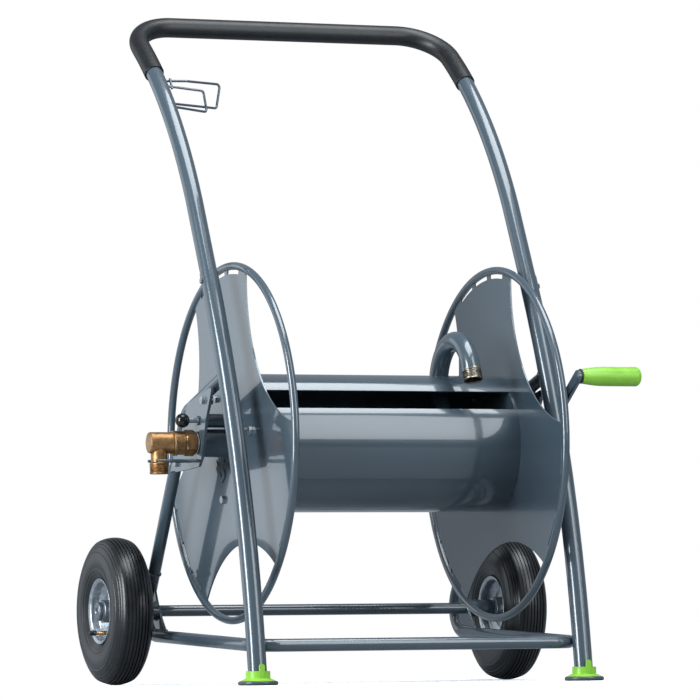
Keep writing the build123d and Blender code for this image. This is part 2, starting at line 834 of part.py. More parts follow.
for hand, side in hands:
    ring_plane = Plane(at(side * plate_x, reel_y, reel_z), x_dir=(1, 0, 0), z_dir=(0, -1, 0))
    with BuildPart() as ring:
        with BuildSketch(ring_plane):
            with Locations((0, ring_radius)):
                Circle(ring_bar / 2)
        revolve(axis=reel_axis)
    ring.part.label = f"{hand}_ring"
    export_step(ring.part, f"parts/{hand}_ring.step")

    with BuildPart() as side_plate:
        with BuildSketch(reel_plane(side * plate_x)):
            Circle(plate_edge)
            with PolarLocations(cutout_distance, arm_count, start_angle=arm_angle + arm_pitch / 2):
                Circle(cutout_radius, mode=Mode.SUBTRACT)
            for arm in range(arm_count):
                for place in (-1, 0, 1):
                    slot_middle = arm_angle + arm * arm_pitch + place * slot_pitch
                    slot = ring_sector(plate_edge - slot_depth, ring_radius, slot_middle, slot_width)
                    add(slot, mode=Mode.SUBTRACT)
            Circle(shaft_radius + tube_clearance, mode=Mode.SUBTRACT)
            with PolarLocations(plate_bolt_circle, arm_count, start_angle=bolt_angle):
                Circle(plate_bolt_diameter / 2 + bolt_clearance, mode=Mode.SUBTRACT)
            if side < 0:
                with PolarLocations(lock_radius, lock_hole_count, start_angle=lock_angle):
                    Circle(lock_hole_diameter / 2, mode=Mode.SUBTRACT)
        extrude(amount=plate_thickness / 2, both=True)
    side_plate.part.label = f"{hand}_side_plate"
    export_step(side_plate.part, f"parts/{hand}_side_plate.step")

# the hose outlet: up through the drum, over and down
goose_plane = reel_plane(gooseneck_x)
with BuildLine(goose_plane) as goose_path:
    up = polar(1, gooseneck_angle)
    over = polar(1, gooseneck_angle + 90)
    bend_start = (up[0] * gooseneck_rise, up[1] * gooseneck_rise)
    bend_end = step(bend_start, over, 2 * gooseneck_bend_radius)
    bend_top = step(step(bend_start, over, gooseneck_bend_radius), up, gooseneck_bend_radius)
    tail_end = step(bend_end, up, -gooseneck_tail)
    Line((0, 0), bend_start)
    ThreePointArc(bend_start, bend_top, bend_end)
    Line(bend_end, tail_end)

with BuildLine(goose_plane) as branch_path:
    Line((0, 0), bend_start)

goose_hole = bar_along(goose_path.wire(), shaft_radius + shell_hole_clearance)
branch_hole = bar_along(branch_path.wire(), shaft_radius - gooseneck_wall)
drum_radius = drum_diameter / 2
hem_start = drum_gap_width / 2 + hem_width

with BuildPart() as drum_shell:
    with BuildSketch(reel_plane(0)):
        shell_turn = 360 - drum_gap_width - 2 * hem_width
        add(ring_sector(drum_radius - drum_sheet, drum_radius, drum_gap_middle + 180, shell_turn))
        # both edges of the gap are folded a little inwards
        for edge in (-1, 1):
            hem_angle = drum_gap_middle + edge * hem_start
            lip_angle = drum_gap_middle + edge * drum_gap_width / 2
            with BuildLine():
                Polyline(
                    polar(drum_radius - drum_sheet, hem_angle),
                    polar(drum_radius, hem_angle),
                    polar(drum_radius - hem_drop, lip_angle),
                    polar(drum_radius - hem_drop - drum_sheet, lip_angle),
                    close=True,
                )
            make_face()
    extrude(amount=plate_inner_x, both=True)
    add(goose_hole, mode=Mode.SUBTRACT)
drum_shell.part.label = "drum_shell"
export_step(drum_shell.part, "parts/drum_shell.step")

flange_outer = drum_radius - drum_sheet - tube_clearance
with BuildPart() as drum_flanges:
    for hand, side in hands:
        with BuildSketch(reel_plane(side * plate_inner_x)):
            Circle(flange_outer)
            Circle(drum_flange_inner / 2, mode=Mode.SUBTRACT)
            hem_bottom = drum_radius - hem_drop - drum_sheet - tube_clearance
            notch = ring_sector(hem_bottom, drum_radius, drum_gap_middle, 2 * (hem_start + hem_notch_margin))
            add(notch, mode=Mode.SUBTRACT)
        extrude(amount=-side * drum_flange_thickness)
        with BuildSketch(reel_plane(side * (plate_inner_x - drum_flange_thickness))):
            with PolarLocations(plate_bolt_circle, arm_count, start_angle=bolt_angle):
                Circle(weld_nut_diameter / 2)
        extrude(amount=-side * weld_nut_height)
        with BuildSketch(reel_plane(side * plate_inner_x)):
            with PolarLocations(plate_bolt_circle, arm_count, start_angle=bolt_angle):
                Circle(plate_bolt_diameter / 2 + bolt_clearance)
        extrude(amount=-side * (drum_flange_thickness + weld_nut_height), mode=Mode.SUBTRACT)
drum_flanges.part.label = "drum_flanges"
export_step(drum_flanges.part, "parts/drum_flanges.step")

with BuildPart() as plate_bolts:
    for hand, side in hands:
        with BuildSketch(reel_plane(side * plate_outer_x)):
            with PolarLocations(plate_bolt_circle, arm_count, start_angle=bolt_angle):
                RegularPolygon(plate_bolt_head / 2, 6, major_radius=False)
        extrude(amount=side * plate_bolt_head_height)
        with BuildSketch(reel_plane(side * plate_outer_x)):
            with PolarLocations(plate_bolt_circle, arm_count, start_angle=bolt_angle):
                Circle(plate_bolt_diameter / 2)
        extrude(amount=-side * plate_bolt_reach)
plate_bolts.part.label = "plate_bolts"
export_step(plate_bolts.part, "parts/plate_bolts.step")

# ---- reel shaft: the water pipe on the left, a solid journal on the right ----

pipe_bore = shaft_radius - pipe_wall
with BuildPart() as reel_pipe:
    with BuildSketch(reel_plane(-pipe_end_x)):
        Circle(shaft_radius)
        Circle(pipe_bore, mode=Mode.SUBTRACT)
    extrude(amount=pipe_end_x + pipe_inner_end)
    add(branch_hole, mode=Mode.SUBTRACT)
reel_pipe.part.label = "reel_pipe"
export_step(reel_pipe.part, "parts/reel_pipe.step")

with BuildPart() as pipe_core:
    with BuildSketch(reel_plane(gooseneck_x - pipe_diameter)):
        Circle(shaft_radius)
    extrude(amount=2 * pipe_diameter)

with BuildPart() as gooseneck:
    with BuildSketch(across(goose_path.wire())):
        Circle(shaft_radius)
        Circle(shaft_radius - gooseneck_wall, mode=Mode.SUBTRACT)
    sweep(path=goose_path.wire())
    add(pipe_core.part, mode=Mode.SUBTRACT)
gooseneck.part.label = "gooseneck"
export_step(gooseneck.part, "parts/gooseneck.step")

tail_place = goose_plane.from_local_coords((*tail_end, 0))
down = goose_plane.from_local_coords((-up[0], -up[1], 0)) - goose_plane.origin
nipple_plane = Plane(tail_place, x_dir=(1, 0, 0), z_dir=down)
with BuildPart() as hose_nipple:
    with BuildSketch(nipple_plane):
        Circle(nipple_diameter / 2)
    extrude(amount=nipple_length)
    chamfer(hose_nipple.faces().sort_by(Axis(tail_place, nipple_plane.z_dir))[-1].edges(), nipple_chamfer)
    with BuildSketch(nipple_plane):
        Circle(shaft_radius - gooseneck_wall - tube_clearance)
    extrude(amount=-nipple_spigot)
    with BuildSketch(nipple_plane.offset(-nipple_spigot)):
        Circle(nipple_bore / 2)
    extrude(amount=nipple_spigot + nipple_length, mode=Mode.SUBTRACT)
hose_nipple.part.label = "hose_nipple"
export_step(hose_nipple.part, "parts/hose_nipple.step")

bush_face_x = bearing_plate_x - bush_flange_thickness
sleeve_end = bush_face_x - end_play
with BuildPart() as hub_sleeves:
    for hand, side in hands:
        with BuildSketch(reel_plane(side * plate_outer_x)):
            Circle(hub_sleeve_diameter / 2)
            Circle(shaft_radius + tube_clearance, mode=Mode.SUBTRACT)
        extrude(amount=side * (sleeve_end - plate_outer_x))
hub_sleeves.part.label = "hub_sleeves"
export_step(hub_sleeves.part, "parts/hub_sleeves.step")

crank_outer_x = crank_arm_x + crank_arm_thickness
spigot_start = pipe_inner_end - drive_spigot
with BuildPart() as drive_shaft:
    with BuildSketch(reel_plane(spigot_start)):
        Circle(pipe_bore - tube_clearance)
    extrude(amount=pipe_inner_end - spigot_start)
    with BuildSketch(reel_plane(pipe_inner_end)):
        Circle(shaft_radius)
    extrude(amount=crank_journal_end - pipe_inner_end)
    with BuildSketch(reel_plane(crank_journal_end)):
        Circle(crank_seat_diameter / 2)
    extrude(amount=crank_arm_x - crank_journal_end)
    with BuildSketch(reel_plane(crank_arm_x)):
        Rectangle(crank_tang, crank_tang, rotation=crank_angle)
    extrude(amount=crank_arm_thickness)
    with BuildSketch(reel_plane(crank_journal_end)):
        Circle(crank_bolt_diameter / 2 + bolt_clearance)
    extrude(amount=crank_outer_x - crank_journal_end, mode=Mode.SUBTRACT)
drive_shaft.part.label = "drive_shaft"
export_step(drive_shaft.part, "parts/drive_shaft.step")

# ---- crank ----

arm_middle = polar(crank_length / 2, crank_angle)
arm_tip = polar(crank_length, crank_angle)
with BuildPart() as crank_arm:
    with BuildSketch(reel_plane(crank_arm_x)):
        with Locations(arm_middle):
            SlotCenterToCenter(crank_length, crank_arm_width, rotation=crank_angle)
        Rectangle(
            crank_tang + 2 * tube_clearance,
            crank_tang + 2 * tube_clearance,
            rotation=crank_angle,
            mode=Mode.SUBTRACT,
        )
        with Locations(arm_tip):
            Circle(spindle_diameter / 2 + tube_clearance, mode=Mode.SUBTRACT)
    extrude(amount=crank_arm_thickness)
crank_arm.part.label = "crank_arm"
export_step(crank_arm.part, "parts/crank_arm.step")

with BuildPart() as crank_bolt:
    with BuildSketch(reel_plane(crank_outer_x)):
        Circle(crank_washer_diameter / 2)
    extrude(amount=crank_washer_thickness)
    with BuildSketch(reel_plane(crank_outer_x + crank_washer_thickness)):
        RegularPolygon(crank_bolt_head / 2, 6, major_radius=False)
    extrude(amount=crank_bolt_head_height)
    with BuildSketch(reel_plane(crank_journal_end + bolt_end_gap)):
        Circle(crank_bolt_diameter / 2)
    extrude(amount=crank_outer_x - crank_journal_end - bolt_end_gap)
crank_bolt.part.label = "crank_bolt"
export_step(crank_bolt.part, "parts/crank_bolt.step")

grip_start_x = crank_outer_x + spindle_collar_height + grip_gap
grip_hollow_end = crank_end_x - crank_grip_end_wall
button_start = grip_hollow_end - grip_gap - spindle_button_height


def tip_plane(x):
    """plane across the crank grip's own axis"""
    return side_plane(x, reel_y + arm_tip[0], reel_z + arm_tip[1])


with BuildPart() as grip_spindle:
    with BuildSketch(tip_plane(crank_arm_x - spindle_head_height)):
        Circle(spindle_head_diameter / 2)
    extrude(amount=spindle_head_height)
    with BuildSketch(tip_plane(crank_arm_x)):
        Circle(spindle_diameter / 2)
    extrude(amount=button_start - crank_arm_x)
    with BuildSketch(tip_plane(crank_outer_x)):
        Circle(spindle_collar_diameter / 2)
    extrude(amount=spindle_collar_height)
    with BuildSketch(tip_plane(button_start)):
        Circle(spindle_button_diameter / 2)
    extrude(amount=spindle_button_height)
grip_spindle.part.label = "grip_spindle"
export_step(grip_spindle.part, "parts/grip_spindle.step")

root_radius = crank_grip_root_diameter / 2
tip_radius = crank_grip_tip_diameter / 2
grip_place = at(grip_start_x, reel_y + arm_tip[0], reel_z + arm_tip[1])
grip_axis = Axis(grip_place, (1, 0, 0))
with BuildPart() as crank_grip:
    with BuildSketch(Plane(grip_place, x_dir=(1, 0, 0), z_dir=(0, -1, 0))):
        rounding_start = crank_grip_length - crank_grip_end_radius
        end_face_radius = tip_radius - crank_grip_end_radius
        with BuildLine():
            Line((0, 0), (0, root_radius))
            taper_ends = ((0, root_radius), (crank_grip_taper, tip_radius))
            Spline(*taper_ends, tangents=((1, crank_grip_root_slope), (1, 0)))
            Line((crank_grip_taper, tip_radius), (rounding_start, tip_radius))
            end_edge = (crank_grip_length, end_face_radius)
            RadiusArc((rounding_start, tip_radius), end_edge, crank_grip_end_radius)
            Line(end_edge, (crank_grip_length, 0))
            Line((crank_grip_length, 0), (0, 0))
        make_face()
    revolve(axis=grip_axis)
    with BuildSketch(tip_plane(grip_start_x)):
        Circle(spindle_diameter / 2 + running_clearance)
    extrude(amount=grip_hollow_end - grip_start_x, mode=Mode.SUBTRACT)
    with BuildSketch(tip_plane(button_start - grip_gap)):
        Circle(spindle_button_diameter / 2 + running_clearance)
    extrude(amount=grip_hollow_end - button_start + grip_gap, mode=Mode.SUBTRACT)
crank_grip.part.label = "crank_grip"
export_step(crank_grip.part, "parts/crank_grip.step")

# ---- strap lug on the left side plate ----

with BuildPart() as strap_lug:
    with BuildSketch(reel_plane(-plate_outer_x)):
        with Locations(polar(lug_distance, lug_angle)):
            with Locations(Location((0, 0), lug_angle + 90)):
                RectangleRounded(lug_length, lug_width, lug_corner_radius)
                with GridLocations(lug_slot_spacing, 1, 2, 1):
                    SlotOverall(lug_slot_length, lug_slot_width, mode=Mode.SUBTRACT)
    extrude(amount=-lug_thickness)
strap_lug.part.label = "strap_lug"
export_step(strap_lug.part, "parts/strap_lug.step")

# ---- bearing plates ----

bearing_outer_x = bearing_plate_x + bearing_plate_thickness
bearing_outline = [(-80, 95), (45, 71), (117, -47), (41, -44), (-8, -41), (-22, -28), (-33, -4), (-46, 38)]
bearing_bolt_places = [(-36, 72), (100, -31)]
tab_inner_x = bearing_plate_x - bearing_tab_thickness
lock_place = polar(lock_radius, lock_angle)

for hand, side in hands:
    with BuildPart() as bearing_plate:
        with BuildSketch(reel_plane(side * bearing_plate_x)):
            with BuildLine():
                Polyline(*bearing_outline, close=True)
            make_face()
            fillet(vertices(), bearing_corner_radius)
            Circle(bush_diameter / 2, mode=Mode.SUBTRACT)
            with Locations(*bearing_bolt_places):
                Circle(bearing_bolt_diameter / 2 + bolt_clearance, mode=Mode.SUBTRACT)
            if side < 0:
                with Locations(lock_place):
                    Circle(lock_collar_diameter / 2 + tube_clearance, mode=Mode.SUBTRACT)
        extrude(amount=side * bearing_plate_thickness)
    bearing_plate.part.label = f"{hand}_bearing_plate"
    export_step(bearing_plate.part, f"parts/{hand}_bearing_plate.step")

with BuildPart() as bearing_bushes:
    for hand, side in hands:
        with BuildSketch(reel_plane(side * bearing_plate_x)):
            Circle(bush_diameter / 2 - tube_clearance)
        extrude(amount=side * bearing_plate_thickness)
        with BuildSketch(reel_plane(side * bearing_plate_x)):
            Circle(bush_flange_diameter / 2)
        extrude(amount=-side * bush_flange_thickness)
        with BuildSketch(reel_plane(side * bush_face_x)):
            Circle(shaft_radius + running_clearance)
        extrude(amount=side * (bearing_outer_x - bush_face_x), mode=Mode.SUBTRACT)
bearing_bushes.part.label = "bearing_bushes"
export_step(bearing_bushes.part, "parts/bearing_bushes.step")

# tabs with weld nuts: one hangs under the upper run, one stands off the rear leg
half_tab = bearing_tab_width / 2
tab_lap = rail_radius / 3


def run_rise_at(y):
    """height of the upper run's centre line over the reel axis"""
    return upper_corner[1] + (upper_corner[0] - reel_y - y) * run_slope - reel_z


def leg_reach_at(z):
    """distance of the rear leg's centre line behind the reel axis"""
    return rear_corner[0] + (reel_z + z - rear_corner[1]) * leg_along[0] / leg_along[1] - reel_y


upper_bolt, rear_bolt = bearing_bolt_places
upper_tab = [
    (upper_bolt[0] - half_tab, upper_bolt[1] - half_tab),
    (upper_bolt[0] + half_tab, upper_bolt[1] - half_tab),
    (upper_bolt[0] + half_tab, run_rise_at(upper_bolt[0] + half_tab) - tab_lap),
    (upper_bolt[0] - half_tab, run_rise_at(upper_bolt[0] - half_tab) - tab_lap),
]
rear_tab = [
    (rear_bolt[0] - half_tab, rear_bolt[1] - half_tab),
    (leg_reach_at(rear_bolt[1] - half_tab) - tab_lap, rear_bolt[1] - half_tab),
    (leg_reach_at(rear_bolt[1] + half_tab) - tab_lap, rear_bolt[1] + half_tab),
    (rear_bolt[0] - half_tab, rear_bolt[1] + half_tab),
]

with BuildPart() as bearing_tabs:
    for hand, side in hands:
        with BuildSketch(reel_plane(side * bearing_plate_x)):
            for corners in (upper_tab, rear_tab):
                with BuildLine():
                    Polyline(*corners, close=True)
                make_face()
        extrude(amount=-side * bearing_tab_thickness)
        with BuildSketch(reel_plane(side * tab_inner_x)):
            with Locations(*bearing_bolt_places):
                Circle(weld_nut_diameter / 2)
        extrude(amount=-side * weld_nut_height)
        with BuildSketch(reel_plane(side * bearing_plate_x)):
            with Locations(*bearing_bolt_places):
                Circle(bearing_bolt_diameter / 2 + bolt_clearance)
        extrude(amount=-side * (bearing_tab_thickness + weld_nut_height), mode=Mode.SUBTRACT)
        add(rear_bars[side], mode=Mode.SUBTRACT)
bearing_tabs.part.label = "bearing_tabs"
export_step(bearing_tabs.part, "parts/bearing_tabs.step")

with BuildPart() as bearing_bolts:
    for hand, side in hands:
        with BuildSketch(reel_plane(side * bearing_outer_x)):
            with Locations(*bearing_bolt_places):
                RegularPolygon(bearing_bolt_head / 2, 6, major_radius=False)
        extrude(amount=side * bearing_bolt_head_height)
        with BuildSketch(reel_plane(side * bearing_outer_x)):
            with Locations(*bearing_bolt_places):
                Circle(bearing_bolt_diameter / 2)
        bolt_reach = bearing_plate_thickness + bearing_tab_thickness + weld_nut_height + bolt_tip
        extrude(amount=-side * bolt_reach)
bearing_bolts.part.label = "bearing_bolts"
export_step(bearing_bolts.part, "parts/bearing_bolts.step")

# ---- water inlet swivel on the left ----

spigot_x = nut_start + nut_collar + swivel_gap
with BuildPart() as swivel_nut:
    with BuildSketch(reel_plane(-nut_start)):
        RegularPolygon(nut_across_flats / 2, 6, major_radius=False)
    extrude(amount=nut_start - nut_end)
    with BuildSketch(reel_plane(-nut_start)):
        Circle(shaft_radius + running_clearance)
    extrude(amount=nut_start - nut_end, mode=Mode.SUBTRACT)
    with BuildSketch(reel_plane(-nut_start - nut_collar)):
        Circle(swivel_spigot_diameter / 2 + tube_clearance)
    extrude(amount=nut_start + nut_collar - nut_end, mode=Mode.SUBTRACT)
swivel_nut.part.label = "swivel_nut"
export_step(swivel_nut.part, "parts/swivel_nut.step")

inlet_bottom = reel_z - inlet_drop
chamber_end = inlet_x + water_bore / 2 + chamber_past
seal_places = [pipe_end_x - seal_pitch / 2 - index * seal_pitch for index in range(2)]
with BuildPart() as swivel_body:
    with BuildSketch(reel_plane(-spigot_x)):
        Circle(swivel_spigot_diameter / 2)
    extrude(amount=spigot_x - nut_end)
    with BuildSketch(reel_plane(-nut_end)):
        Circle(swivel_shoulder_diameter / 2)
    extrude(amount=nut_end - swivel_shoulder_end)
    with BuildSketch(reel_plane(-swivel_shoulder_end)):
        Circle(swivel_body_diameter / 2)
    extrude(amount=swivel_shoulder_end - swivel_body_end)
    with BuildSketch(Plane(at(-inlet_x, reel_y, inlet_bottom))):
        Circle(inlet_thread_diameter / 2)
    extrude(amount=inlet_thread_length)
    with BuildSketch(Plane(at(-inlet_x, reel_y, inlet_bottom + inlet_thread_length))):
        Circle(inlet_diameter / 2)
    extrude(amount=inlet_drop - inlet_thread_length)
    with BuildSketch(reel_plane(-spigot_x)):
        Circle(shaft_radius + running_clearance)
    extrude(amount=spigot_x - pipe_end_x - swivel_gap, mode=Mode.SUBTRACT)
    with BuildSketch(reel_plane(-pipe_end_x)):
        Circle(water_bore / 2)
    extrude(amount=pipe_end_x - chamber_end, mode=Mode.SUBTRACT)
    with BuildSketch(Plane(at(-inlet_x, reel_y, inlet_bottom))):
        Circle(water_bore / 2)
    extrude(amount=inlet_drop, mode=Mode.SUBTRACT)
    for place in seal_places:
        with BuildSketch(reel_plane(-place)):
            Circle(shaft_radius + seal_thickness)
        extrude(amount=seal_width / 2 + tube_clearance, both=True, mode=Mode.SUBTRACT)
swivel_body.part.label = "swivel_body"
export_step(swivel_body.part, "parts/swivel_body.step")

with BuildPart() as swivel_seals:
    for place in seal_places:
        with BuildSketch(reel_plane(-place)):
            Circle(shaft_radius + seal_thickness - tube_clearance)
            Circle(shaft_radius + running_clearance, mode=Mode.SUBTRACT)
        extrude(amount=seal_width / 2, both=True)
swivel_seals.part.label = "swivel_seals"
export_step(swivel_seals.part, "parts/swivel_seals.step")

fork_x = bearing_outer_x + fork_rod_diameter / 2
fork_plane = Plane(at(0, reel_y, reel_z - fork_drop), x_dir=(1, 0, 0), z_dir=(0, 0, 1))
with BuildLine(fork_plane) as fork_path:
    FilletPolyline(
        (-fork_reach, -fork_half_width),
        (-fork_x, -fork_half_width),
        (-fork_x, fork_half_width),
        (-fork_reach, fork_half_width),
        radius=fork_corner_radius,
    )
with BuildPart() as swivel_fork:
    with BuildSketch(across(fork_path.wire())):
        Circle(fork_rod_diameter / 2)
    sweep(path=fork_path.wire())
swivel_fork.part.label = "swivel_fork"
export_step(swivel_fork.part, "parts/swivel_fork.step")

# ---- reel lock: a sprung pin in a housing on the left bearing plate ----


def lock_plane(x):
    return side_plane(-x, reel_y + lock_place[0], reel_z + lock_place[1])


pin_bore = lock_pin_diameter / 2 + lock_clearance
cavity_radius = lock_housing_diameter / 2 - lock_housing_wall
cavity_start = bearing_plate_x - lock_cap_wall
cavity_end = lock_housing_end + lock_housing_wall
collar_end = bearing_outer_x + lock_collar_reach
with BuildPart() as lock_housing:
    with BuildSketch(lock_plane(collar_end)):
        Circle(lock_collar_diameter / 2)
    extrude(amount=collar_end - bearing_plate_x)
    with BuildSketch(lock_plane(bearing_plate_x)):
        Circle(lock_housing_diameter / 2)
    extrude(amount=bearing_plate_x - lock_housing_end)
    with BuildSketch(lock_plane(collar_end)):
        Circle(pin_bore)
    extrude(amount=collar_end - lock_housing_end, mode=Mode.SUBTRACT)
    with BuildSketch(lock_plane(cavity_start)):
        Circle(cavity_radius)
    extrude(amount=cavity_start - cavity_end, mode=Mode.SUBTRACT)
lock_housing.part.label = "lock_housing"
export_step(lock_housing.part, "parts/lock_housing.step")

pin_tip = plate_outer_x + lock_tip_gap
pin_tail = lock_knob_x + lock_knob_diameter / 4
shoulder_x = cavity_end + lock_travel + lock_shoulder_length + lock_shoulder_margin
with BuildPart() as lock_pin:
    with BuildSketch(lock_plane(pin_tail)):
        Circle(lock_pin_diameter / 2)
    extrude(amount=pin_tail - pin_tip)
    chamfer(lock_pin.edges().filter_by(GeomType.CIRCLE), lock_pin_chamfer)
    with BuildSketch(lock_plane(shoulder_x)):
        Circle(lock_shoulder_diameter / 2)
    extrude(amount=lock_shoulder_length)
lock_pin.part.label = "lock_pin"
export_step(lock_pin.part, "parts/lock_pin.step")

with BuildPart() as lock_knob:
    with BuildSketch(lock_plane(lock_knob_x)):
        Circle(lock_knob_diameter / 2)
        with Locations((0, -lock_knob_diameter / 2)):
            Rectangle(lock_knob_diameter, lock_knob_diameter, mode=Mode.SUBTRACT)
    knob_centre = at(-lock_knob_x, reel_y + lock_place[0], reel_z + lock_place[1])
    revolve(axis=Axis(knob_centre, (0, 1, 0)))
    with BuildSketch(lock_plane(pin_tail)):
        Circle(lock_pin_diameter / 2 + tube_clearance)
    extrude(amount=lock_knob_diameter, mode=Mode.SUBTRACT)
lock_knob.part.label = "lock_knob"
export_step(lock_knob.part, "parts/lock_knob.step")

# the spring stands compressed between the housing's outer wall and the pin's shoulder
spring_start = cavity_start - spring_wire / 2 - tube_clearance
spring_end = shoulder_x + spring_wire / 2 + tube_clearance
spring_base = at(-spring_start, reel_y + lock_place[0], reel_z + lock_place[1])
coil_radius = (spring_diameter - spring_wire) / 2
with BuildPart() as lock_spring:
    with BuildLine():
        coil = Helix(
            pitch=(spring_start - spring_end) / spring_turns,
            height=spring_start - spring_end,
            radius=coil_radius,
            center=spring_base,
            direction=(1, 0, 0),
        )
    with BuildSketch(Plane(origin=coil @ 0, z_dir=coil % 0)):
        Circle(spring_wire / 2)
    sweep(is_frenet=True)
lock_spring.part.label = "lock_spring"
export_step(lock_spring.part, "parts/lock_spring.step")

# ---- wire holder beside the left handle tube ----

# each point is (inwards from the tube, backwards, upwards) from the holder's root
holder_y, holder_z = handle_point(holder_lean)
rear_loop = [(10, 22, 22), (50, 13, 22), (124, 40, 21), (113, 30, -23), (10, -18, -22)]
front_loop = [(10, 10, 12), (84, 18, 6), (89, 14, -32), (10, -24, -28)]
tie_bar = [(21.5, 18, 26), (21.5, 8, 7)]

with BuildLine() as handle_stretch:
    ThreePointArc(left_side[1], left_side[2], left_side[3])
handle_bar = bar_along(handle_stretch.wire(), handle_diameter / 2)

with BuildPart() as gun_holder:
    for offsets in (rear_loop, front_loop, tie_bar):
        points = [at(inwards - leg_x, holder_y + back, holder_z + up) for inwards, back, up in offsets]
        with BuildLine() as wire_path:
            if len(points) > 2:
                FilletPolyline(*points, radius=holder_corner_radius)
            else:
                Line(*points)
        with BuildSketch(across(wire_path.wire())):
            Circle(holder_wire / 2)
        sweep(path=wire_path.wire())
    add(handle_bar, mode=Mode.SUBTRACT)
gun_holder.part.label = "gun_holder"
export_step(gun_holder.part, "parts/gun_holder.step")
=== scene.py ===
import json
from math import acos, ceil, cos, pi, radians, sin, tan
from random import Random

import bmesh
import bpy
from mathutils import Matrix, Vector
from mathutils.bvhtree import BVHTree

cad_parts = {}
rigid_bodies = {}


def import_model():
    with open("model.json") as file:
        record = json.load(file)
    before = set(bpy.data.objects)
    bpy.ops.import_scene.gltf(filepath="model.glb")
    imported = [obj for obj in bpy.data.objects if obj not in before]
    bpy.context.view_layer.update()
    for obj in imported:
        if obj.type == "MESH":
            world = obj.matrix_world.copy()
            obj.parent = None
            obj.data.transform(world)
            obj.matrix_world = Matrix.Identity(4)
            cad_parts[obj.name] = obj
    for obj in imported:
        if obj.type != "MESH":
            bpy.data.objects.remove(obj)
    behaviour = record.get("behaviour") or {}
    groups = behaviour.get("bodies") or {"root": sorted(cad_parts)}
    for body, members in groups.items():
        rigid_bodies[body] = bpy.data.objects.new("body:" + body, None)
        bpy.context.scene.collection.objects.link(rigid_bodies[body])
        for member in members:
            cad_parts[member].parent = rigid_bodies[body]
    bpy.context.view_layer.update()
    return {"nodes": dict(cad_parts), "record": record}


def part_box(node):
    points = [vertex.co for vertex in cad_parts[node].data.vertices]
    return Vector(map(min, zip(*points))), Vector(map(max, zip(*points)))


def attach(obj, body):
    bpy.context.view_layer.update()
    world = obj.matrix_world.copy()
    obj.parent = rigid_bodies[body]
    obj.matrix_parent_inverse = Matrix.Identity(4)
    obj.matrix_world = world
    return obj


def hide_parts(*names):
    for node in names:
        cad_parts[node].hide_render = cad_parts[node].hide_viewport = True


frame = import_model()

nodes = frame["nodes"]
mm = 0.001
samePoint = 0.002 * mm  # points of the frame's meshes closer than this are one
hands = (("left", -1), ("right", 1))
print("frame loaded:", len(nodes), "nodes")


# places that the pieces are worked out from
def middle(node):
    low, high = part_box(node)
    return (low + high) / 2


def extent(node):
    low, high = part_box(node)
    return high - low


def bodyOf(node):
    return nodes[node].parent.name.split(":", 1)[1]


datum = middle("foot_plates")  # under the front legs, on the frame's middle plane
reelAxis = middle("left_ring")  # its y and z are the reel's axis


# colours are sRGB hex, and one function makes every shader node
def srgb(hexColour):
    def linear(channel):
        return channel / 12.92 if channel <= 0.04045 else ((channel + 0.055) / 1.055) ** 2.4
    values = [int(hexColour[i:i + 2], 16) / 255 for i in (1, 3, 5)]
    return (*[linear(v) for v in values], 1.0)


def addNode(tree, kind, settings=None, inputs=None, links=None):
    node = tree.nodes.new(kind)
    for key, value in (settings or {}).items():
        setattr(node, key, value)
    for key, value in (inputs or {}).items():
        node.inputs[key].default_value = value
    for key, source in (links or {}).items():
        tree.links.new(source, node.inputs[key])
    return node


def newMaterial(name, constants):
    # constants go straight onto the shader's own sockets
    material = bpy.data.materials.new(name)
    material.use_nodes = True
    tree = material.node_tree
    tree.nodes.clear()
    shader = addNode(tree, "ShaderNodeBsdfPrincipled", inputs=constants)
    addNode(tree, "ShaderNodeOutputMaterial", links={"Surface": shader.outputs[0]})
    coords = addNode(tree, "ShaderNodeTexCoord").outputs["Object"]
    return material, tree, shader, coords


def noiseMap(tree, coords, patchMm, detail):
    # patchMm is the real size of one patch, and detail says how many finer layers lie on it
    noise = addNode(tree, "ShaderNodeTexNoise", inputs={"Scale": 1 / (patchMm * mm), "Detail": detail},
                    links={"Vector": coords})
    return noise.outputs["Fac"]


def colourFrom(tree, shader, source, spread, colours):
    # the first colour below the spread, the second above it, and a blend between them
    blend = addNode(tree, "ShaderNodeValToRGB", links={"Fac": source})
    for element, position, colour in zip(blend.color_ramp.elements, spread, colours):
        element.position = position
        element.color = srgb(colour)
    tree.links.new(blend.outputs["Color"], shader.inputs["Base Color"])


def roughnessFrom(tree, shader, source, low, high):
    limits = {"To Min": low, "To Max": high}
    ranged = addNode(tree, "ShaderNodeMapRange", inputs=limits, links={"Value": source})
    tree.links.new(ranged.outputs[0], shader.inputs["Roughness"])


def bumpFrom(tree, shader, height, strength, distanceMm):
    bump = addNode(tree, "ShaderNodeBump", inputs={"Strength": strength, "Distance": distanceMm * mm},
                   links={"Height": height})
    tree.links.new(bump.outputs[0], shader.inputs["Normal"])


def powderCoatedSteel():  # sprayed polyester powder: even blue-grey gloss with a faint orange peel
    look = {"colours": ("#38454e", "#3a4750"), "spread": (0.35, 0.65), "driftMm": 90, "handlingMm": 60,
            "roughness": (0.27, 0.3), "coat": 0.9, "coatRoughness": 0.05, "peelMm": 3.5, "peel": 0.02,
            "peelDepthMm": 0.03}
    material, tree, shader, coords = newMaterial("powderCoatedSteel", {
        "IOR": 1.5, "Coat Weight": look["coat"], "Coat Roughness": look["coatRoughness"]})
    drift = noiseMap(tree, coords, look["driftMm"], detail=3)
    colourFrom(tree, shader, drift, look["spread"], look["colours"])
    roughnessFrom(tree, shader, noiseMap(tree, coords, look["handlingMm"], detail=4), *look["roughness"])
    peel = noiseMap(tree, coords, look["peelMm"], detail=1)
    bumpFrom(tree, shader, peel, look["peel"], look["peelDepthMm"])
    return material


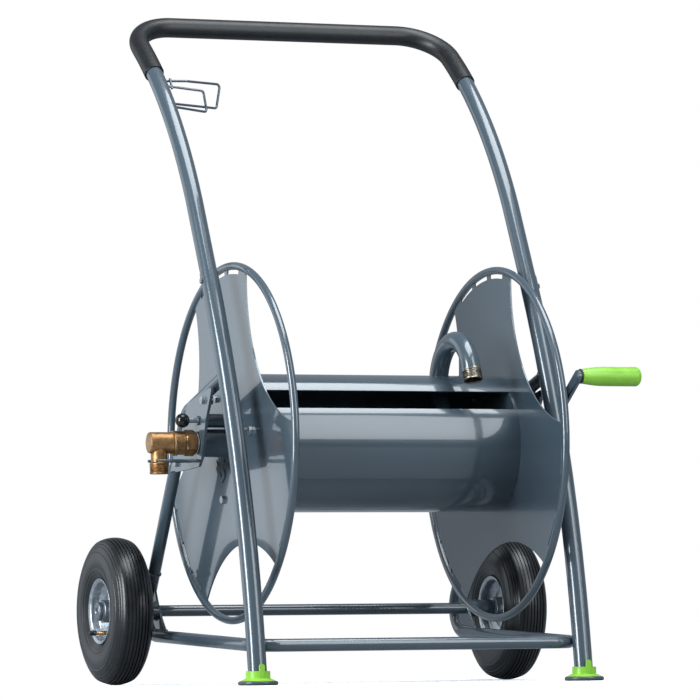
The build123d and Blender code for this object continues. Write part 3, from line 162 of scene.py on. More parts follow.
def closedCellFoam():  # extruded foam sleeve: near-black skin, soft highlight and fine pores
    look = {"colours": ("#0b0c0d", "#121315"), "spread": (0.3, 0.7), "patchMm": 14, "rubbedMm": 8,
            "roughness": (0.36, 0.48), "pores": 0.3, "poreDepthMm": 0.2,
            "poreMm": 0.9}  # real pores are about 0.3 mm and are drawn coarser so that they show
    material, tree, shader, coords = newMaterial("closedCellFoam", {"IOR": 1.5})
    patches = noiseMap(tree, coords, look["patchMm"], detail=4)
    colourFrom(tree, shader, patches, look["spread"], look["colours"])
    roughnessFrom(tree, shader, noiseMap(tree, coords, look["rubbedMm"], detail=3), *look["roughness"])
    pores = noiseMap(tree, coords, look["poreMm"], detail=2)
    bumpFrom(tree, shader, pores, look["pores"], look["poreDepthMm"])
    return material


def tyreRubber():  # vulcanised rubber: black with a dull sheen and a little grey bloom
    look = {"colours": ("#0b0d0f", "#15181a"), "spread": (0.42, 0.75), "bloomMm": 22,
            "roughness": (0.26, 0.4), "grain": 0.2, "grainDepthMm": 0.15,
            "grainMm": 1.2}  # coarser than the mould's real grain of about 0.4 mm, so that it shows
    material, tree, shader, coords = newMaterial("tyreRubber", {"IOR": 1.52})
    bloom = noiseMap(tree, coords, look["bloomMm"], detail=5)
    colourFrom(tree, shader, bloom, look["spread"], look["colours"])
    roughnessFrom(tree, shader, bloom, *look["roughness"])
    grain = noiseMap(tree, coords, look["grainMm"], detail=3)
    bumpFrom(tree, shader, grain, look["grain"], look["grainDepthMm"])
    return material


def metalOf(name, look):
    # a metal with cloudy tone and a fine tooth, which is drawn coarser than the real one so that it shows
    spread, toothDepthMm = (0.35, 0.68), 0.12
    material, tree, shader, coords = newMaterial(name, {"Metallic": 1.0})
    cloud = noiseMap(tree, coords, look["cloudMm"], detail=4)
    colourFrom(tree, shader, cloud, spread, look["colours"])
    roughnessFrom(tree, shader, cloud, *look["roughness"])
    tooth = noiseMap(tree, coords, look["grainMm"], detail=3)
    bumpFrom(tree, shader, tooth, look["grain"], toothDepthMm)
    return material


def zincPlatedSteel():  # bright zinc on pressed steel: pale blue-white metal with a soft spangle
    return metalOf("zincPlatedSteel", {"colours": ("#a3aab0", "#c6cbcf"), "cloudMm": 7, "grainMm": 1.5,
                                       "grain": 0.12, "roughness": (0.28, 0.42)})


def dullZinc():  # the hub and its cap: a darker, slightly rougher copy of the plating; the darker colour is painted shade for the dark surroundings the hub reflects
    return metalOf("dullZinc", {"colours": ("#72797f", "#91989e"), "cloudMm": 9, "grainMm": 1.5,
                                "grain": 0.15, "roughness": (0.3, 0.45)})


def castBrass():  # blasted hot pressing: warm brown gold with a fine tooth
    return metalOf("castBrass", {"colours": ("#876341", "#ae865c"), "cloudMm": 9, "grainMm": 0.8,
                                 "grain": 0.45, "roughness": (0.36, 0.52)})


def turnedBrass():  # machined faces: brighter and smoother than the casting
    return metalOf("turnedBrass", {"colours": ("#a07a53", "#ba966d"), "cloudMm": 12, "grainMm": 0.6,
                                   "grain": 0.12, "roughness": (0.24, 0.36)})


def nickelPlate():  # thin nickel over brass: silver with a warm cast
    return metalOf("nickelPlate", {"colours": ("#82796a", "#aca392"), "cloudMm": 6, "grainMm": 0.7,
                                   "grain": 0.2, "roughness": (0.24, 0.38)})


def polymerOf(name, look, constants):
    # a plastic coloured all through; its mould grain is drawn coarser than the real one so that it shows
    spread, grainDepthMm = (0.35, 0.65), 0.06
    material, tree, shader, coords = newMaterial(name, {"IOR": 1.5, **constants})
    drift = noiseMap(tree, coords, look["driftMm"], detail=3)
    colourFrom(tree, shader, drift, spread, look["colours"])
    roughnessFrom(tree, shader, noiseMap(tree, coords, look["driftMm"] / 2, detail=3), *look["roughness"])
    grain = noiseMap(tree, coords, look["grainMm"], detail=2)
    bumpFrom(tree, shader, grain, look["grain"], grainDepthMm)
    return material


def greenPolypropylene():  # injection moulded: bright yellow-green, satin, light bleeds in a little
    look = {"colours": ("#7ab42b", "#84bd35"), "driftMm": 20, "grainMm": 0.8, "grain": 0.1,
            "roughness": (0.3, 0.4)}
    return polymerOf("greenPolypropylene", look, {"Subsurface Weight": 0.08, "Subsurface Scale": 2 * mm})


def footRubber():  # moulded pad: dark grey with a soft shine
    look = {"colours": ("#3b4245", "#464d50"), "driftMm": 12, "grainMm": 0.9, "grain": 0.2,
            "roughness": (0.28, 0.42)}
    return polymerOf("footRubber", look, {})


def blackPhenolic():  # compression-moulded ball knob: piano black
    look = {"colours": ("#080809", "#0c0c0e"), "driftMm": 12, "grainMm": 2.5, "grain": 0.03,
            "roughness": (0.07, 0.14)}
    return polymerOf("blackPhenolic", look, {})


def blackNylon():  # turned bushes and moulded caps: satin black
    look = {"colours": ("#101114", "#16171a"), "driftMm": 12, "grainMm": 0.8, "grain": 0.2,
            "roughness": (0.35, 0.5)}
    return polymerOf("blackNylon", look, {})


def naturalNylon():  # uncoloured thrust washer: milky white, waxy
    look = {"colours": ("#c9c8be", "#d9d8d0"), "driftMm": 12, "grainMm": 0.8, "grain": 0.1,
            "roughness": (0.3, 0.42)}
    return polymerOf("naturalNylon", look, {"Subsurface Weight": 0.1, "Subsurface Scale": 1.5 * mm})


coat, foam, tyreBlack = powderCoatedSteel(), closedCellFoam(), tyreRubber()
zinc, shadedZincMaterial, brass = zincPlatedSteel(), dullZinc(), castBrass()
brightBrass, nickel = turnedBrass(), nickelPlate()
green, padRubber, phenolic = greenPolypropylene(), footRubber(), blackPhenolic()
nylon, paleNylon = blackNylon(), naturalNylon()
slotMaterials = {"powder_coat": coat, "zinc_plate": zinc, "grip_foam": foam, "green_plastic": green,
                 "foot_rubber": padRubber, "brass": brass, "nickel_plate": nickel, "black_plastic": phenolic,
                 "seal_rubber": nylon, "tyre_rubber": tyreBlack}
slotOf = {part["node"]: part["material_slot"] for part in frame["record"]["subparts"]}
for name, node in nodes.items():
    node.data.materials.clear()
    node.data.materials.append(slotMaterials[slotOf[name]])
print("materials:", len(bpy.data.materials))


# mesh helpers
def finishPiece(piece, material, body, smoothAngle=35):
    piece.data.materials.clear()
    piece.data.materials.append(material)
    piece.data.shade_smooth()
    piece.data.set_sharp_from_angle(angle=radians(smoothAngle))
    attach(piece, body)
    return piece


def meshPiece(name, verts, faces):
    mesh = bpy.data.meshes.new(name)
    mesh.from_pydata([tuple(v) for v in verts], [], faces)
    shape = bmesh.new()
    shape.from_mesh(mesh)
    bmesh.ops.remove_doubles(shape, verts=shape.verts, dist=0.001 * mm)  # a pole's copies become one
    bmesh.ops.recalc_face_normals(shape, faces=shape.faces)
    shape.to_mesh(mesh)
    shape.free()
    piece = bpy.data.objects.new(name, mesh)
    bpy.context.scene.collection.objects.link(piece)
    return piece


def lathe(name, profile, place, direction, steps=96):
    # profile is a closed outline of (height, radius) in mm, turned round the direction;
    # a radius may be a function of the angle, as on a thread
    turn = Vector((0, 0, 1)).rotation_difference(Vector(direction)).to_matrix()
    count = len(profile)
    verts, faces = [], []
    for step in range(steps):
        angle = 2 * pi * step / steps
        for height, radius in profile:
            size = radius(angle) if callable(radius) else radius
            point = Vector((size * cos(angle), size * sin(angle), height))
            verts.append(Vector(place) + turn @ point * mm)
    for step in range(steps):
        here, there = step * count, (step + 1) % steps * count
        for i in range(count):
            j = (i + 1) % count
            faces.append((here + i, there + i, there + j, here + j))
    return meshPiece(name, verts, faces)


def arcThrough(first, middlePoint, last, steps):
    # points from first to last on the circle through all three
    (ax, ay), (bx, by), (cx, cy) = first, middlePoint, last
    scale = 2 * (ax * (by - cy) + bx * (cy - ay) + cx * (ay - by))
    squares = [x * x + y * y for x, y in (first, middlePoint, last)]
    centreX = (squares[0] * (by - cy) + squares[1] * (cy - ay) + squares[2] * (ay - by)) / scale
    centreY = (squares[0] * (cx - bx) + squares[1] * (ax - cx) + squares[2] * (bx - ax)) / scale
    centre = Vector((centreX, centreY))
    start, end = Vector(first) - centre, Vector(last) - centre
    sweep = start.angle_signed(end)
    if start.angle_signed(Vector(middlePoint) - centre) * sweep < 0:
        sweep -= 2 * pi * (1 if sweep > 0 else -1)
    points = []
    for i in range(steps + 1):
        spun = start.copy()
        spun.rotate(Matrix.Rotation(-sweep * i / steps, 2))
        points.append(tuple(centre + spun))
    return points


def rounded(corners, radii, steps=5):
    # a closed outline with each corner rounded by its own radius
    nearlyStraight = 1.55  # half a corner's angle from which it counts as no corner
    points = []
    for i, (corner, radius) in enumerate(zip(corners, radii)):
        here = Vector(corner)
        back = (Vector(corners[i - 1]) - here).normalized()
        ahead = (Vector(corners[(i + 1) % len(corners)]) - here).normalized()
        half = acos(max(-1, min(1, back.dot(ahead)))) / 2
        if radius == 0 or half > nearlyStraight:
            points.append(tuple(here))
            continue
        reach = radius / tan(half)
        centre = here + (back + ahead).normalized() * radius / sin(half)
        start, end = here + back * reach - centre, here + ahead * reach - centre
        for step in range(steps + 1):
            share = step / steps
            points.append(tuple(centre + (start * (1 - share) + end * share).normalized() * radius))
    return points


def threadAt(height, start, end, radius, pitch, depth):
    # radius of a helical thread at a height, run out at both ends
    fade = max(0, min(1, (height - start) / pitch, (end - height) / pitch))
    return lambda angle: radius - depth * fade * (0.5 - 0.5 * cos(2 * pi * height / pitch - angle))


def threadRows(start, end, radius, pitch, depth):
    rowsPerTurn = 8
    rows = ceil((end - start) / pitch * rowsPerTurn)
    heights = [start + (end - start) * i / rows for i in range(rows + 1)]
    return [(h, threadAt(h, start, end, radius, pitch, depth)) for h in heights]


def softened(node, width):
    # a copy of a sheet or turned piece with its edges broken as paint or tooling leaves them
    look = {"flatWithin": 0.6, "segments": 2, "fromAngle": 32}  # angles in degrees
    piece = bpy.data.objects.new(node + "_finished", nodes[node].data.copy())
    bpy.context.scene.collection.objects.link(piece)
    shape = bmesh.new()
    shape.from_mesh(piece.data)
    bmesh.ops.remove_doubles(shape, verts=shape.verts, dist=samePoint)
    bmesh.ops.dissolve_limit(shape, angle_limit=radians(look["flatWithin"]), verts=shape.verts,
                             edges=shape.edges)
    shape.to_mesh(piece.data)
    shape.free()
    bevel = piece.modifiers.new("brokenEdges", "BEVEL")
    bevel.width = width * mm
    bevel.segments = look["segments"]
    bevel.limit_method = "ANGLE"
    bevel.angle_limit = radians(look["fromAngle"])
    bevel.use_clamp_overlap = True
    finishPiece(piece, slotMaterials[slotOf[node]], bodyOf(node))
    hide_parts(node)
    return piece


# sheet metal, castings and mouldings get broken edges, widths in mm
brokenEdges = {
    "left_side_plate": 0.6, "right_side_plate": 0.6, "left_bearing_plate": 0.8, "right_bearing_plate": 0.8,
    "left_gusset": 0.8, "right_gusset": 0.8, "crank_arm": 0.9, "strap_lug": 0.5, "drum_shell": 0.4,
    "left_foot": 0.7, "right_foot": 0.7, "plate_bolts": 0.7, "bearing_bolts": 0.7, "crank_bolt": 0.7,
    "hub_sleeves": 0.6, "lock_housing": 0.6, "handle_screws": 0.8, "bearing_tabs": 0.6, "left_leg": 0.9,
    "right_leg": 0.9, "handle_tube": 0.9,
}
for node, width in brokenEdges.items():
    softened(node, width)
for node in ("lock_housing", "handle_screws"):  # sprayed together with the frame
    finishPiece(bpy.data.objects[node + "_finished"], coat, bodyOf(node))
print("broken edges:", len(brokenEdges))


# the foam grip: clean-cut ends and the slight waves of an extruded sleeve pulled over a bent tube
def foamGrip():
    look = {"cutEdgeMm": 1.1, "waveMm": 70, "waveDepthMm": 0.5}
    piece = softened("handle_grip", look["cutEdgeMm"])
    waves = bpy.data.textures.new("foamWaves", "CLOUDS")
    waves.noise_scale = look["waveMm"] * mm
    ripple = piece.modifiers.new("waves", "DISPLACE")
    ripple.texture = waves
    ripple.texture_coords = "GLOBAL"
    ripple.strength = look["waveDepthMm"] * mm
    ripple.mid_level = 1.0  # only inwards, so the sleeve keeps inside its size


foamGrip()


# wheels
def tyreProfile(width, diameter):
    # rings are given by their radius, the flange by its x and radius
    look = {"wall": 6, "tread": 50, "bead": 53, "beadHalf": 25, "flange": (26.5, 58), "grooves": 7,
            "groovePitch": 6.2, "grooveWidth": 1.9, "grooveDepth": 2.2, "shoulderRings": (119.5, 114.5),
            "sideRings": (104, 74, 69), "ringHeight": 0.7, "ringWidth": 1.6, "treadStep": 0.45,
            "sideSteps": 70, "shoulderPasses": 30}
    crown, half = diameter / 2, look["tread"] / 2
    shoulder = crown - look["wall"]
    bulge = (width / 2, (look["flange"][1] + shoulder) / 2)
    side = arcThrough(look["flange"], bulge, (half, shoulder), look["sideSteps"])
    top = arcThrough((half, shoulder), (0, crown), (-half, shoulder), int(2 * half / look["treadStep"]))
    carcass = side + top[1:-1] + [(-x, r) for x, r in reversed(side)]
    for _ in range(look["shoulderPasses"]):  # each pass rounds the shoulder off a little
        inside = [((a[0] + 2 * b[0] + c[0]) / 4, (a[1] + 2 * b[1] + c[1]) / 4)
                  for a, b, c in zip(carcass, carcass[1:], carcass[2:])]
        carcass = [carcass[0]] + inside + [carcass[-1]]
    grooves = [(i - (look["grooves"] - 1) / 2) * look["groovePitch"] for i in range(look["grooves"])]
    rings = look["shoulderRings"] + look["sideRings"]

    def relief(x, r):
        if r > shoulder - 1 and min(abs(x - g) for g in grooves) < look["grooveWidth"] / 2:
            return -look["grooveDepth"]
        nearest = min(rings, key=lambda ring: abs(ring - r))
        share = abs(nearest - r) / (look["ringWidth"] / 2)
        lift = look["ringHeight"] * max(0, 1 - share ** 2)
        return -lift if nearest in look["shoulderRings"] else lift

    shaped = []
    for i, (x, r) in enumerate(carcass):
        before, after = carcass[max(0, i - 1)], carcass[min(len(carcass) - 1, i + 1)]
        along = Vector((after[0] - before[0], after[1] - before[1])).normalized()
        depth = relief(x, r)
        shaped.append((x + along.y * depth, r - along.x * depth))
    return shaped + [(-look["beadHalf"], look["bead"]), (look["beadHalf"], look["bead"])]


def rimProfile():
    # one pressed half: hub seat, web, dish, bead seat and rolled flange, as (x, radius) in mm
    look = {"web": 4, "sheet": 2, "hub": 20.2, "webRadius": 38, "seat": 52.8, "beadHalf": 25,
            "flangeReach": 30, "flangeRadius": 58, "dish": 12.5,
            "bends": (0.4, 9, 5, 3.5, 0.95, 0.95, 1.5, 3, 7, 0.4)}  # one radius for each corner
    s = look["sheet"]
    corners = [(look["web"] + s, look["hub"]), (look["web"] + s, look["webRadius"]),
               (look["dish"], look["seat"] - s), (look["beadHalf"] + s, look["seat"] - s),
               (look["flangeReach"], look["flangeRadius"]), (look["flangeReach"] - s, look["flangeRadius"]),
               (look["beadHalf"], look["seat"]), (look["dish"] - s / 2, look["seat"]),
               (look["web"], look["webRadius"] + s / 2), (look["web"], look["hub"])]
    return rounded(corners, look["bends"])


def hubProfile(length):
    # boss with rounded ends and a shallow bearing recess
    look = {"radius": 20, "bore": 10.1, "recess": (12.5, 17), "depth": 1.4,
            "bends": (0.3, 0.3, 0.3, 0.3, 0.5, 2.4)}  # one radius for each corner of one end
    end, (inner, outer), bends = length / 2, look["recess"], look["bends"]
    sunk = end - look["depth"]
    corners = [(end, look["bore"]), (end, inner), (sunk, inner), (sunk, outer), (end, outer),
               (end, look["radius"])]
    corners += [(-x, r) for x, r in reversed(corners)]
    return rounded(corners, bends + bends[::-1], steps=3)


def buildWheel(hand, side):
    body = f"{hand}_wheel"
    centre, size = middle(f"{hand}_tyre"), extent(f"{hand}_tyre")
    outline = tyreProfile(size.x / mm, size.z / mm)
    tyre = lathe(f"{hand}_tyre_ribbed", outline, centre, (1, 0, 0), steps=160)
    finishPiece(tyre, tyreBlack, body, smoothAngle=40)
    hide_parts(f"{hand}_tyre")
    for half, sign in (("outer", side), ("inner", -side)):
        rim = lathe(f"{hand}_rim_{half}", rimProfile(), centre, (sign, 0, 0), steps=128)
        finishPiece(rim, zinc, body, smoothAngle=30)
        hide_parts(f"{hand}_rim")
    hubLength = extent(f"{hand}_wheel_hub").x / mm
    hub = lathe(f"{hand}_hub_boss", hubProfile(hubLength), centre, (1, 0, 0), steps=96)
    # the boss takes the darker plating: painted shade for its dark reflections
    finishPiece(hub, shadedZincMaterial, body, smoothAngle=40)
    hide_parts(f"{hand}_wheel_hub")


def buildValve(hand, side):
    # a stem held by a nut in the rim's web, and a dust cap with a few ridges
    look = {"fromAxle": 38, "web": 6, "shank": 3, "nutHeight": 3.5, "nut": 6, "stem": 3.6, "tip": 2.4,
            "tipLength": 2, "pitch": 1.6, "depth": 0.5, "threadLength": 13, "capLength": 13, "cap": 4.7,
            "ridges": 3, "ridgePitch": 1.6}  # the thread's pitch is twice its real one so that it shows
    body, centre = f"{hand}_wheel", middle(f"{hand}_tyre")
    low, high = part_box(f"{hand}_valve")
    reach = max(abs(low.x - centre.x), abs(high.x - centre.x)) / mm
    place = centre - Vector((0, 0, look["fromAxle"] * mm))
    foot, nutEnd = look["web"] - look["shank"], look["web"] + look["nutHeight"]
    stemEnd = reach - look["capLength"]
    profile = [(foot, 0), (foot, look["nut"]), (nutEnd, look["nut"]), (nutEnd, look["stem"])]
    profile += threadRows(stemEnd - look["threadLength"], stemEnd, look["stem"], look["pitch"], look["depth"])
    profile += [(stemEnd + look["tipLength"], look["tip"]), (stemEnd + look["tipLength"], 0)]
    stem = lathe(f"{hand}_valve_stem", profile, place, (side, 0, 0), steps=40)
    finishPiece(stem, brightBrass, body)
    cap = look["cap"]
    knurl = [(stemEnd + 0.2, 0), (stemEnd + 0.2, cap - 0.5), (stemEnd + 1, cap)]
    for ridge in range(look["ridges"]):
        at = stemEnd + 2 + ridge * look["ridgePitch"]
        knurl += [(at, cap), (at + 0.5, cap - 0.5), (at + 1, cap)]
    knurl += [(reach - 4, cap - 0.4), (reach - 1, cap - 1), (reach, cap - 2.2), (reach, 0)]
    dustCap = lathe(f"{hand}_valve_cap", knurl, place, (side, 0, 0), steps=40)
    finishPiece(dustCap, nylon, body)
    for piece in (stem, dustCap):
        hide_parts(f"{hand}_valve")


def buildAxleCap(hand, side):
    # a pushed-on cap with a dimple; a black disc low in the dimple is painted shade for its dark hollow
    look = {"hubGap": 3.5, "bore": 3, "step": 11.5, "stepHeight": 0.7, "dimple": 6.5, "dimpleDepth": 1.6,
            "dimpleDraft": 1, "plug": 0.2,
            "bends": (0, 0.3, 1.3, 0.5, 0.5, 0.5, 0.2, 0)}  # one radius for each corner
    centre, size = middle("axle_caps"), extent("axle_caps")
    reach, radius = size.x / 2 / mm, size.z / 2 / mm
    hub = f"{hand}_wheel_hub"
    inner = extent(hub).x / 2 / mm + (middle(hub).x - centre.x) * side / mm + look["hubGap"]
    face, deep = reach - look["stepHeight"], reach - look["dimpleDepth"]
    narrow = look["dimple"] - look["dimpleDraft"]
    corners = [(inner, look["bore"]), (inner, radius), (face, radius), (face, look["step"]),
               (reach, look["step"]), (reach, look["dimple"]), (deep, narrow), (deep, look["bore"])]
    outline = rounded(corners, look["bends"], steps=4)
    ring = lathe(f"{hand}_axle_cap", outline, centre, (side, 0, 0), steps=72)
    # the cap ring takes the same darker plating, painted shade for its dark reflections
    finishPiece(ring, shadedZincMaterial, "root", smoothAngle=40)
    # the black disc: painted shade in the dimple's hollow
    shown = deep + look["plug"]
    profile = [(deep - 1, 0), (deep - 1, narrow), (shown, narrow), (shown, 0)]
    plug = lathe(f"{hand}_axle_cap_plug", profile, centre, (side, 0, 0), steps=48)
    finishPiece(plug, nylon, "root")
    for piece in (ring, plug):
        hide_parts("axle_caps")


for hand, side in hands:
    buildWheel(hand, side)
    buildValve(hand, side)
    buildAxleCap(hand, side)
print("wheels ready")


# the water swivel: a pressed elbow with a turned shoulder ring and a hexagon nut
def hexagonAt(limit, apothem, turned):
    # radius of a hexagon's side at an angle, capped where a corner is chamfered
    def radius(angle):
        off = (angle + turned) % (pi / 3) - pi / 6
        return min(apothem / cos(off), limit)
    return radius


def buildSwivelBody():
    # from the nut outwards: shoulder with a bright ring, round body, end disc, and the inlet downwards
    look = {"bodyRadius": 18.4, "shoulderRadius": 21.6, "shoulder": 22, "ring": (14.8, 21.4),
            "inletFromEnd": 19, "neck": 14.4, "inletRadius": 16.6, "threadLength": 15, "pitch": 3.0,
            "depth": 1.3, "bore": 12.2, "boreDepth": 24}  # the pitch is coarser than the real 1.8 mm, to show
    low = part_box("swivel_body")[0]
    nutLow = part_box("swivel_nut")[0]
    start = Vector((nutLow.x, reelAxis.y, reelAxis.z))
    end = (nutLow.x - low.x) / mm
    r, s, shoulder = look["bodyRadius"], look["shoulderRadius"], look["shoulder"]
    casting = [(0, 0), (0, s - 1.8), (0.8, s - 1), (shoulder - 6, s - 1), (shoulder - 2, s - 1.6),
               (shoulder - 0.8, s - 2.4), (shoulder + 0.6, r + 1), (shoulder + 2.4, r), (end - 2.6, r),
               (end - 1, r - 0.8), (end - 0.6, r - 2), (end - 0.6, 0)]
    body = lathe("swivel_casting", casting, start, (-1, 0, 0), steps=96)
    first, last = look["ring"]
    band = [(first, s - 4), (first, s - 0.8), (first + 1, s), (last - 1.8, s), (last - 0.4, s - 1),
            (last, s - 2.4), (last, s - 4)]
    ring = lathe("swivel_shoulder_ring", band, start, (-1, 0, 0), steps=96)
    disc = [(end - 1, 0), (end - 1, r - 2.4), (end - 0.4, r - 2.6), (end, r - 3.2), (end, 4),
            (end - 0.5, 3.2), (end - 0.5, 0)]
    plug = lathe("swivel_end_disc", disc, start, (-1, 0, 0), steps=72)

    inlet = Vector((low.x + look["inletFromEnd"] * mm, reelAxis.y, reelAxis.z))
    drop = (reelAxis.z - low.z) / mm
    threadTop = drop - look["threadLength"]
    neck, mouth, bore = look["neck"], look["inletRadius"], look["bore"]
    stub = [(0, 0), (0, neck), (threadTop - 6, neck), (threadTop - 4.4, neck + 1.4), (threadTop - 3.6, mouth),
            (threadTop - 1.2, mouth), (threadTop - 0.4, mouth - 1.2)]
    stub += threadRows(threadTop, drop - 0.8, mouth, look["pitch"], look["depth"])
    stub += [(drop, mouth - 1.2), (drop, bore + 0.6), (drop - 0.8, bore)]
    stub += [(drop - look["boreDepth"], bore), (drop - look["boreDepth"], 0)]
    outlet = lathe("swivel_inlet_thread", stub, inlet, (0, 0, -1), steps=96)
    for piece, material in ((body, brass), (ring, brightBrass), (plug, brightBrass), (outlet, brass)):
        finishPiece(piece, material, "root", smoothAngle=30)
        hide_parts("swivel_body")


def buildSwivelNut():
    # hexagon nut, dust seal and thrust washer, one behind the other
    look = {"across": 39.5, "length": 21, "chamfer": 2.6, "washer": 1.4, "sealBore": 13}
    low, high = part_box("swivel_nut")
    place = (low.x, reelAxis.y, reelAxis.z)
    apothem, nutEnd, chamfer = look["across"] / 2, look["length"], look["chamfer"]
    corner = apothem / cos(pi / 6)
    turned = pi / 6 if high.z - low.z > high.y - low.y else 0
    rows = [(0, 0), (0, apothem - 1.5)]
    for height, limit in ((0, apothem - 0.6), (1.2, apothem + 0.9), (chamfer, corner),
                          (nutEnd - chamfer, corner), (nutEnd - 1.2, apothem + 0.9), (nutEnd, apothem - 0.6)):
        rows.append((height, hexagonAt(limit, apothem, turned)))
    nut = lathe("swivel_hex_nut", rows + [(nutEnd, 0)], place, (1, 0, 0), steps=144)
    finishPiece(nut, brass, "root", smoothAngle=20)

    def washer(name, first, last, radius):
        corners = [(first, look["sealBore"]), (first, radius), (last, radius), (last, look["sealBore"])]
        outline = rounded(corners, (0, 0.8, 0.8, 0), steps=3)
        return lathe(name, outline, place, (1, 0, 0), steps=72)

    sealEnd = nutEnd + look["washer"]
    seal = washer("swivel_dust_seal", nutEnd, sealEnd, apothem - 2)
    finishPiece(seal, nylon, "root")
    thrust = washer("swivel_thrust_washer", sealEnd, (high.x - low.x) / mm, apothem - 1)
    finishPiece(thrust, paleNylon, "root")
    for piece in (nut, seal, thrust):
        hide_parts("swivel_nut")


buildSwivelBody()
buildSwivelNut()


# the hose nipple at the end of the gooseneck
def buildNipple():
    look = {"downFromLevel": 70.1, "radius": 16.6, "length": 22, "plain": 2.5, "bore": 13.2, "pitch": 3.0,
            "depth": 1.2}  # pitch is drawn coarser than its real 1.8 mm so that it shows
    tilt = radians(look["downFromLevel"])
    direction = Vector((0, -cos(tilt), -sin(tilt)))
    start = middle("hose_nipple") - direction * look["length"] / 2 * mm
    end, radius, bore = look["length"], look["radius"], look["bore"]
    profile = [(0, bore), (0, radius - 0.5), (look["plain"], radius - 0.5)]
    profile += threadRows(look["plain"], end - 0.6, radius, look["pitch"], look["depth"])
    profile += [(end, radius - 1.3), (end, bore + 0.5), (end - 0.7, bore)]
    nipple = lathe("hose_nipple_threaded", profile, start, direction, steps=108)
    finishPiece(nipple, nickel, "reel", smoothAngle=28)
    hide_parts("hose_nipple")


buildNipple()


# the crank's grip, with the spindle, rivet head and thin black ring that carry it
def quarterTurn(steps):
    # angles in even steps up to a right angle
    return [pi / 2 * i / steps for i in range(1, steps + 1)]


def buildCrankGrip():
    look = {"taper": 46, "taperSteps": 16, "straightSteps": 6, "rootRadius": 13, "endRounding": 8,
            "mouth": 6.5, "mouthDepth": 4, "partingDepth": 0.12, "partingHalfWidth": 0.03}
    low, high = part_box("crank_grip")
    length, tip = (high.x - low.x) / mm, (high.z - low.z) / 2 / mm
    start = Vector((low.x, (low.y + high.y) / 2, (low.z + high.z) / 2))
    root, taper = look["rootRadius"], look["taper"]
    steps, straight = look["taperSteps"], look["straightSteps"]
    rounding, mouth, mouthDepth = look["endRounding"], look["mouth"], look["mouthDepth"]
    side = [(1 + (taper - 1) * i / steps, root + (tip - root) * sin(i / steps * pi / 2))
            for i in range(steps + 1)]
    side += [(taper + (length - rounding - taper) * i / straight, tip) for i in range(1, straight + 1)]
    dome = [(length - rounding + rounding * sin(a), tip - rounding + rounding * cos(a))
            for a in quarterTurn(12)]
    dome += [(length - 0.05, tip - rounding - 1), (length - 0.3, 3), (length - 0.3, 0)]

    def parted(radius):  # a faint mould line along both sides
        return lambda angle: radius - look["partingDepth"] * (abs(sin(angle)) < look["partingHalfWidth"])

    profile = [(mouthDepth, 0), (mouthDepth, mouth), (0, mouth), (0, root - 1)]
    profile += [(h, parted(r)) for h, r in side] + dome
    grip = lathe("crank_grip_moulded", profile, start, (1, 0, 0), steps=144)
    finishPiece(grip, green, "crank_grip", smoothAngle=40)
    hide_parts("crank_grip")
    buildSpindle(start, root)


def buildSpindle(gripStart, ringRadius):
    look = {"radius": 5, "length": 30, "ringGap": 0.5, "rivetRadius": 8, "rivetDome": 1.6}
    armLow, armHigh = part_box("crank_arm")
    gap = (gripStart.x - armHigh.x) / mm - look["ringGap"]
    centre = Vector((armHigh.x, gripStart.y, gripStart.z))
    radius, long = look["radius"], look["length"]
    corners = [(0, radius), (0, ringRadius), (gap, ringRadius), (gap, radius)]
    outline = rounded(corners, (0, 0.5, 0.5, 0), steps=3)
    collar = lathe("crank_grip_ring", outline, centre, (1, 0, 0), steps=72)
    finishPiece(collar, nylon, "reel")
    rod = [(0, 0), (0, radius), (long, radius), (long, 0)]
    shank = lathe("crank_grip_spindle", rod, centre, (1, 0, 0), steps=32)
    finishPiece(shank, zinc, "reel")
    dome = [(0, 0), (0, look["rivetRadius"])]
    dome += [(look["rivetDome"] * sin(a), look["rivetRadius"] * cos(a)) for a in quarterTurn(8)]
    rivet = lathe("crank_rivet_head", dome, (armLow.x, gripStart.y, gripStart.z), (-1, 0, 0), steps=48)
    finishPiece(rivet, coat, "reel")
    for piece in (collar, shank, rivet):
        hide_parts("grip_spindle")


buildCrankGrip()
print("swivel, nipple and crank grip ready")


# weld beads run where one piece's cut face lies on another piece
def contactLines(node, other):
    tolerance = 0.2  # mm between two faces that count as touching
    target = nodes[other].data
    tree = BVHTree.FromPolygons([v.co for v in target.vertices], [tuple(p.vertices) for p in target.polygons])
    shape = bmesh.new()
    shape.from_mesh(nodes[node].data)
    bmesh.ops.remove_doubles(shape, verts=shape.verts, dist=samePoint)

    def touches(point):
        found = tree.find_nearest(point, 2 * tolerance * mm)
        return found[0] is not None and found[3] < tolerance * mm

    near = {v: touches(v.co) for v in shape.verts}
    onOther = {f for f in shape.faces if all(near[v] for v in f.verts) and touches(f.calc_center_median())}
    links = {}
    for edge in shape.edges:
        if sum(f in onOther for f in edge.link_faces) == 1:
            a, b = edge.verts
            links.setdefault(a.index, []).append(b.index)
            links.setdefault(b.index, []).append(a.index)
    shape.verts.ensure_lookup_table()
    lines, seen = [], set()
    for start in sorted(links, key=lambda index: (len(links[index]) != 1, index)):
        if start in seen:
            continue
        chain = [start]
        seen.add(start)
        while True:
            ahead = [index for index in links[chain[-1]] if index not in seen]
            if not ahead:
                break
            chain.append(ahead[0])
            seen.add(ahead[0])
        ring = len(chain) > 2 and chain[0] in links[chain[-1]]
        lines.append(([shape.verts[index].co.copy() for index in chain], ring))
    shape.free()
    return lines


def lineLength(points, ring):
    return sum((b - a).length for a, b in zip(points, points[1:] + (points[:1] if ring else [])))


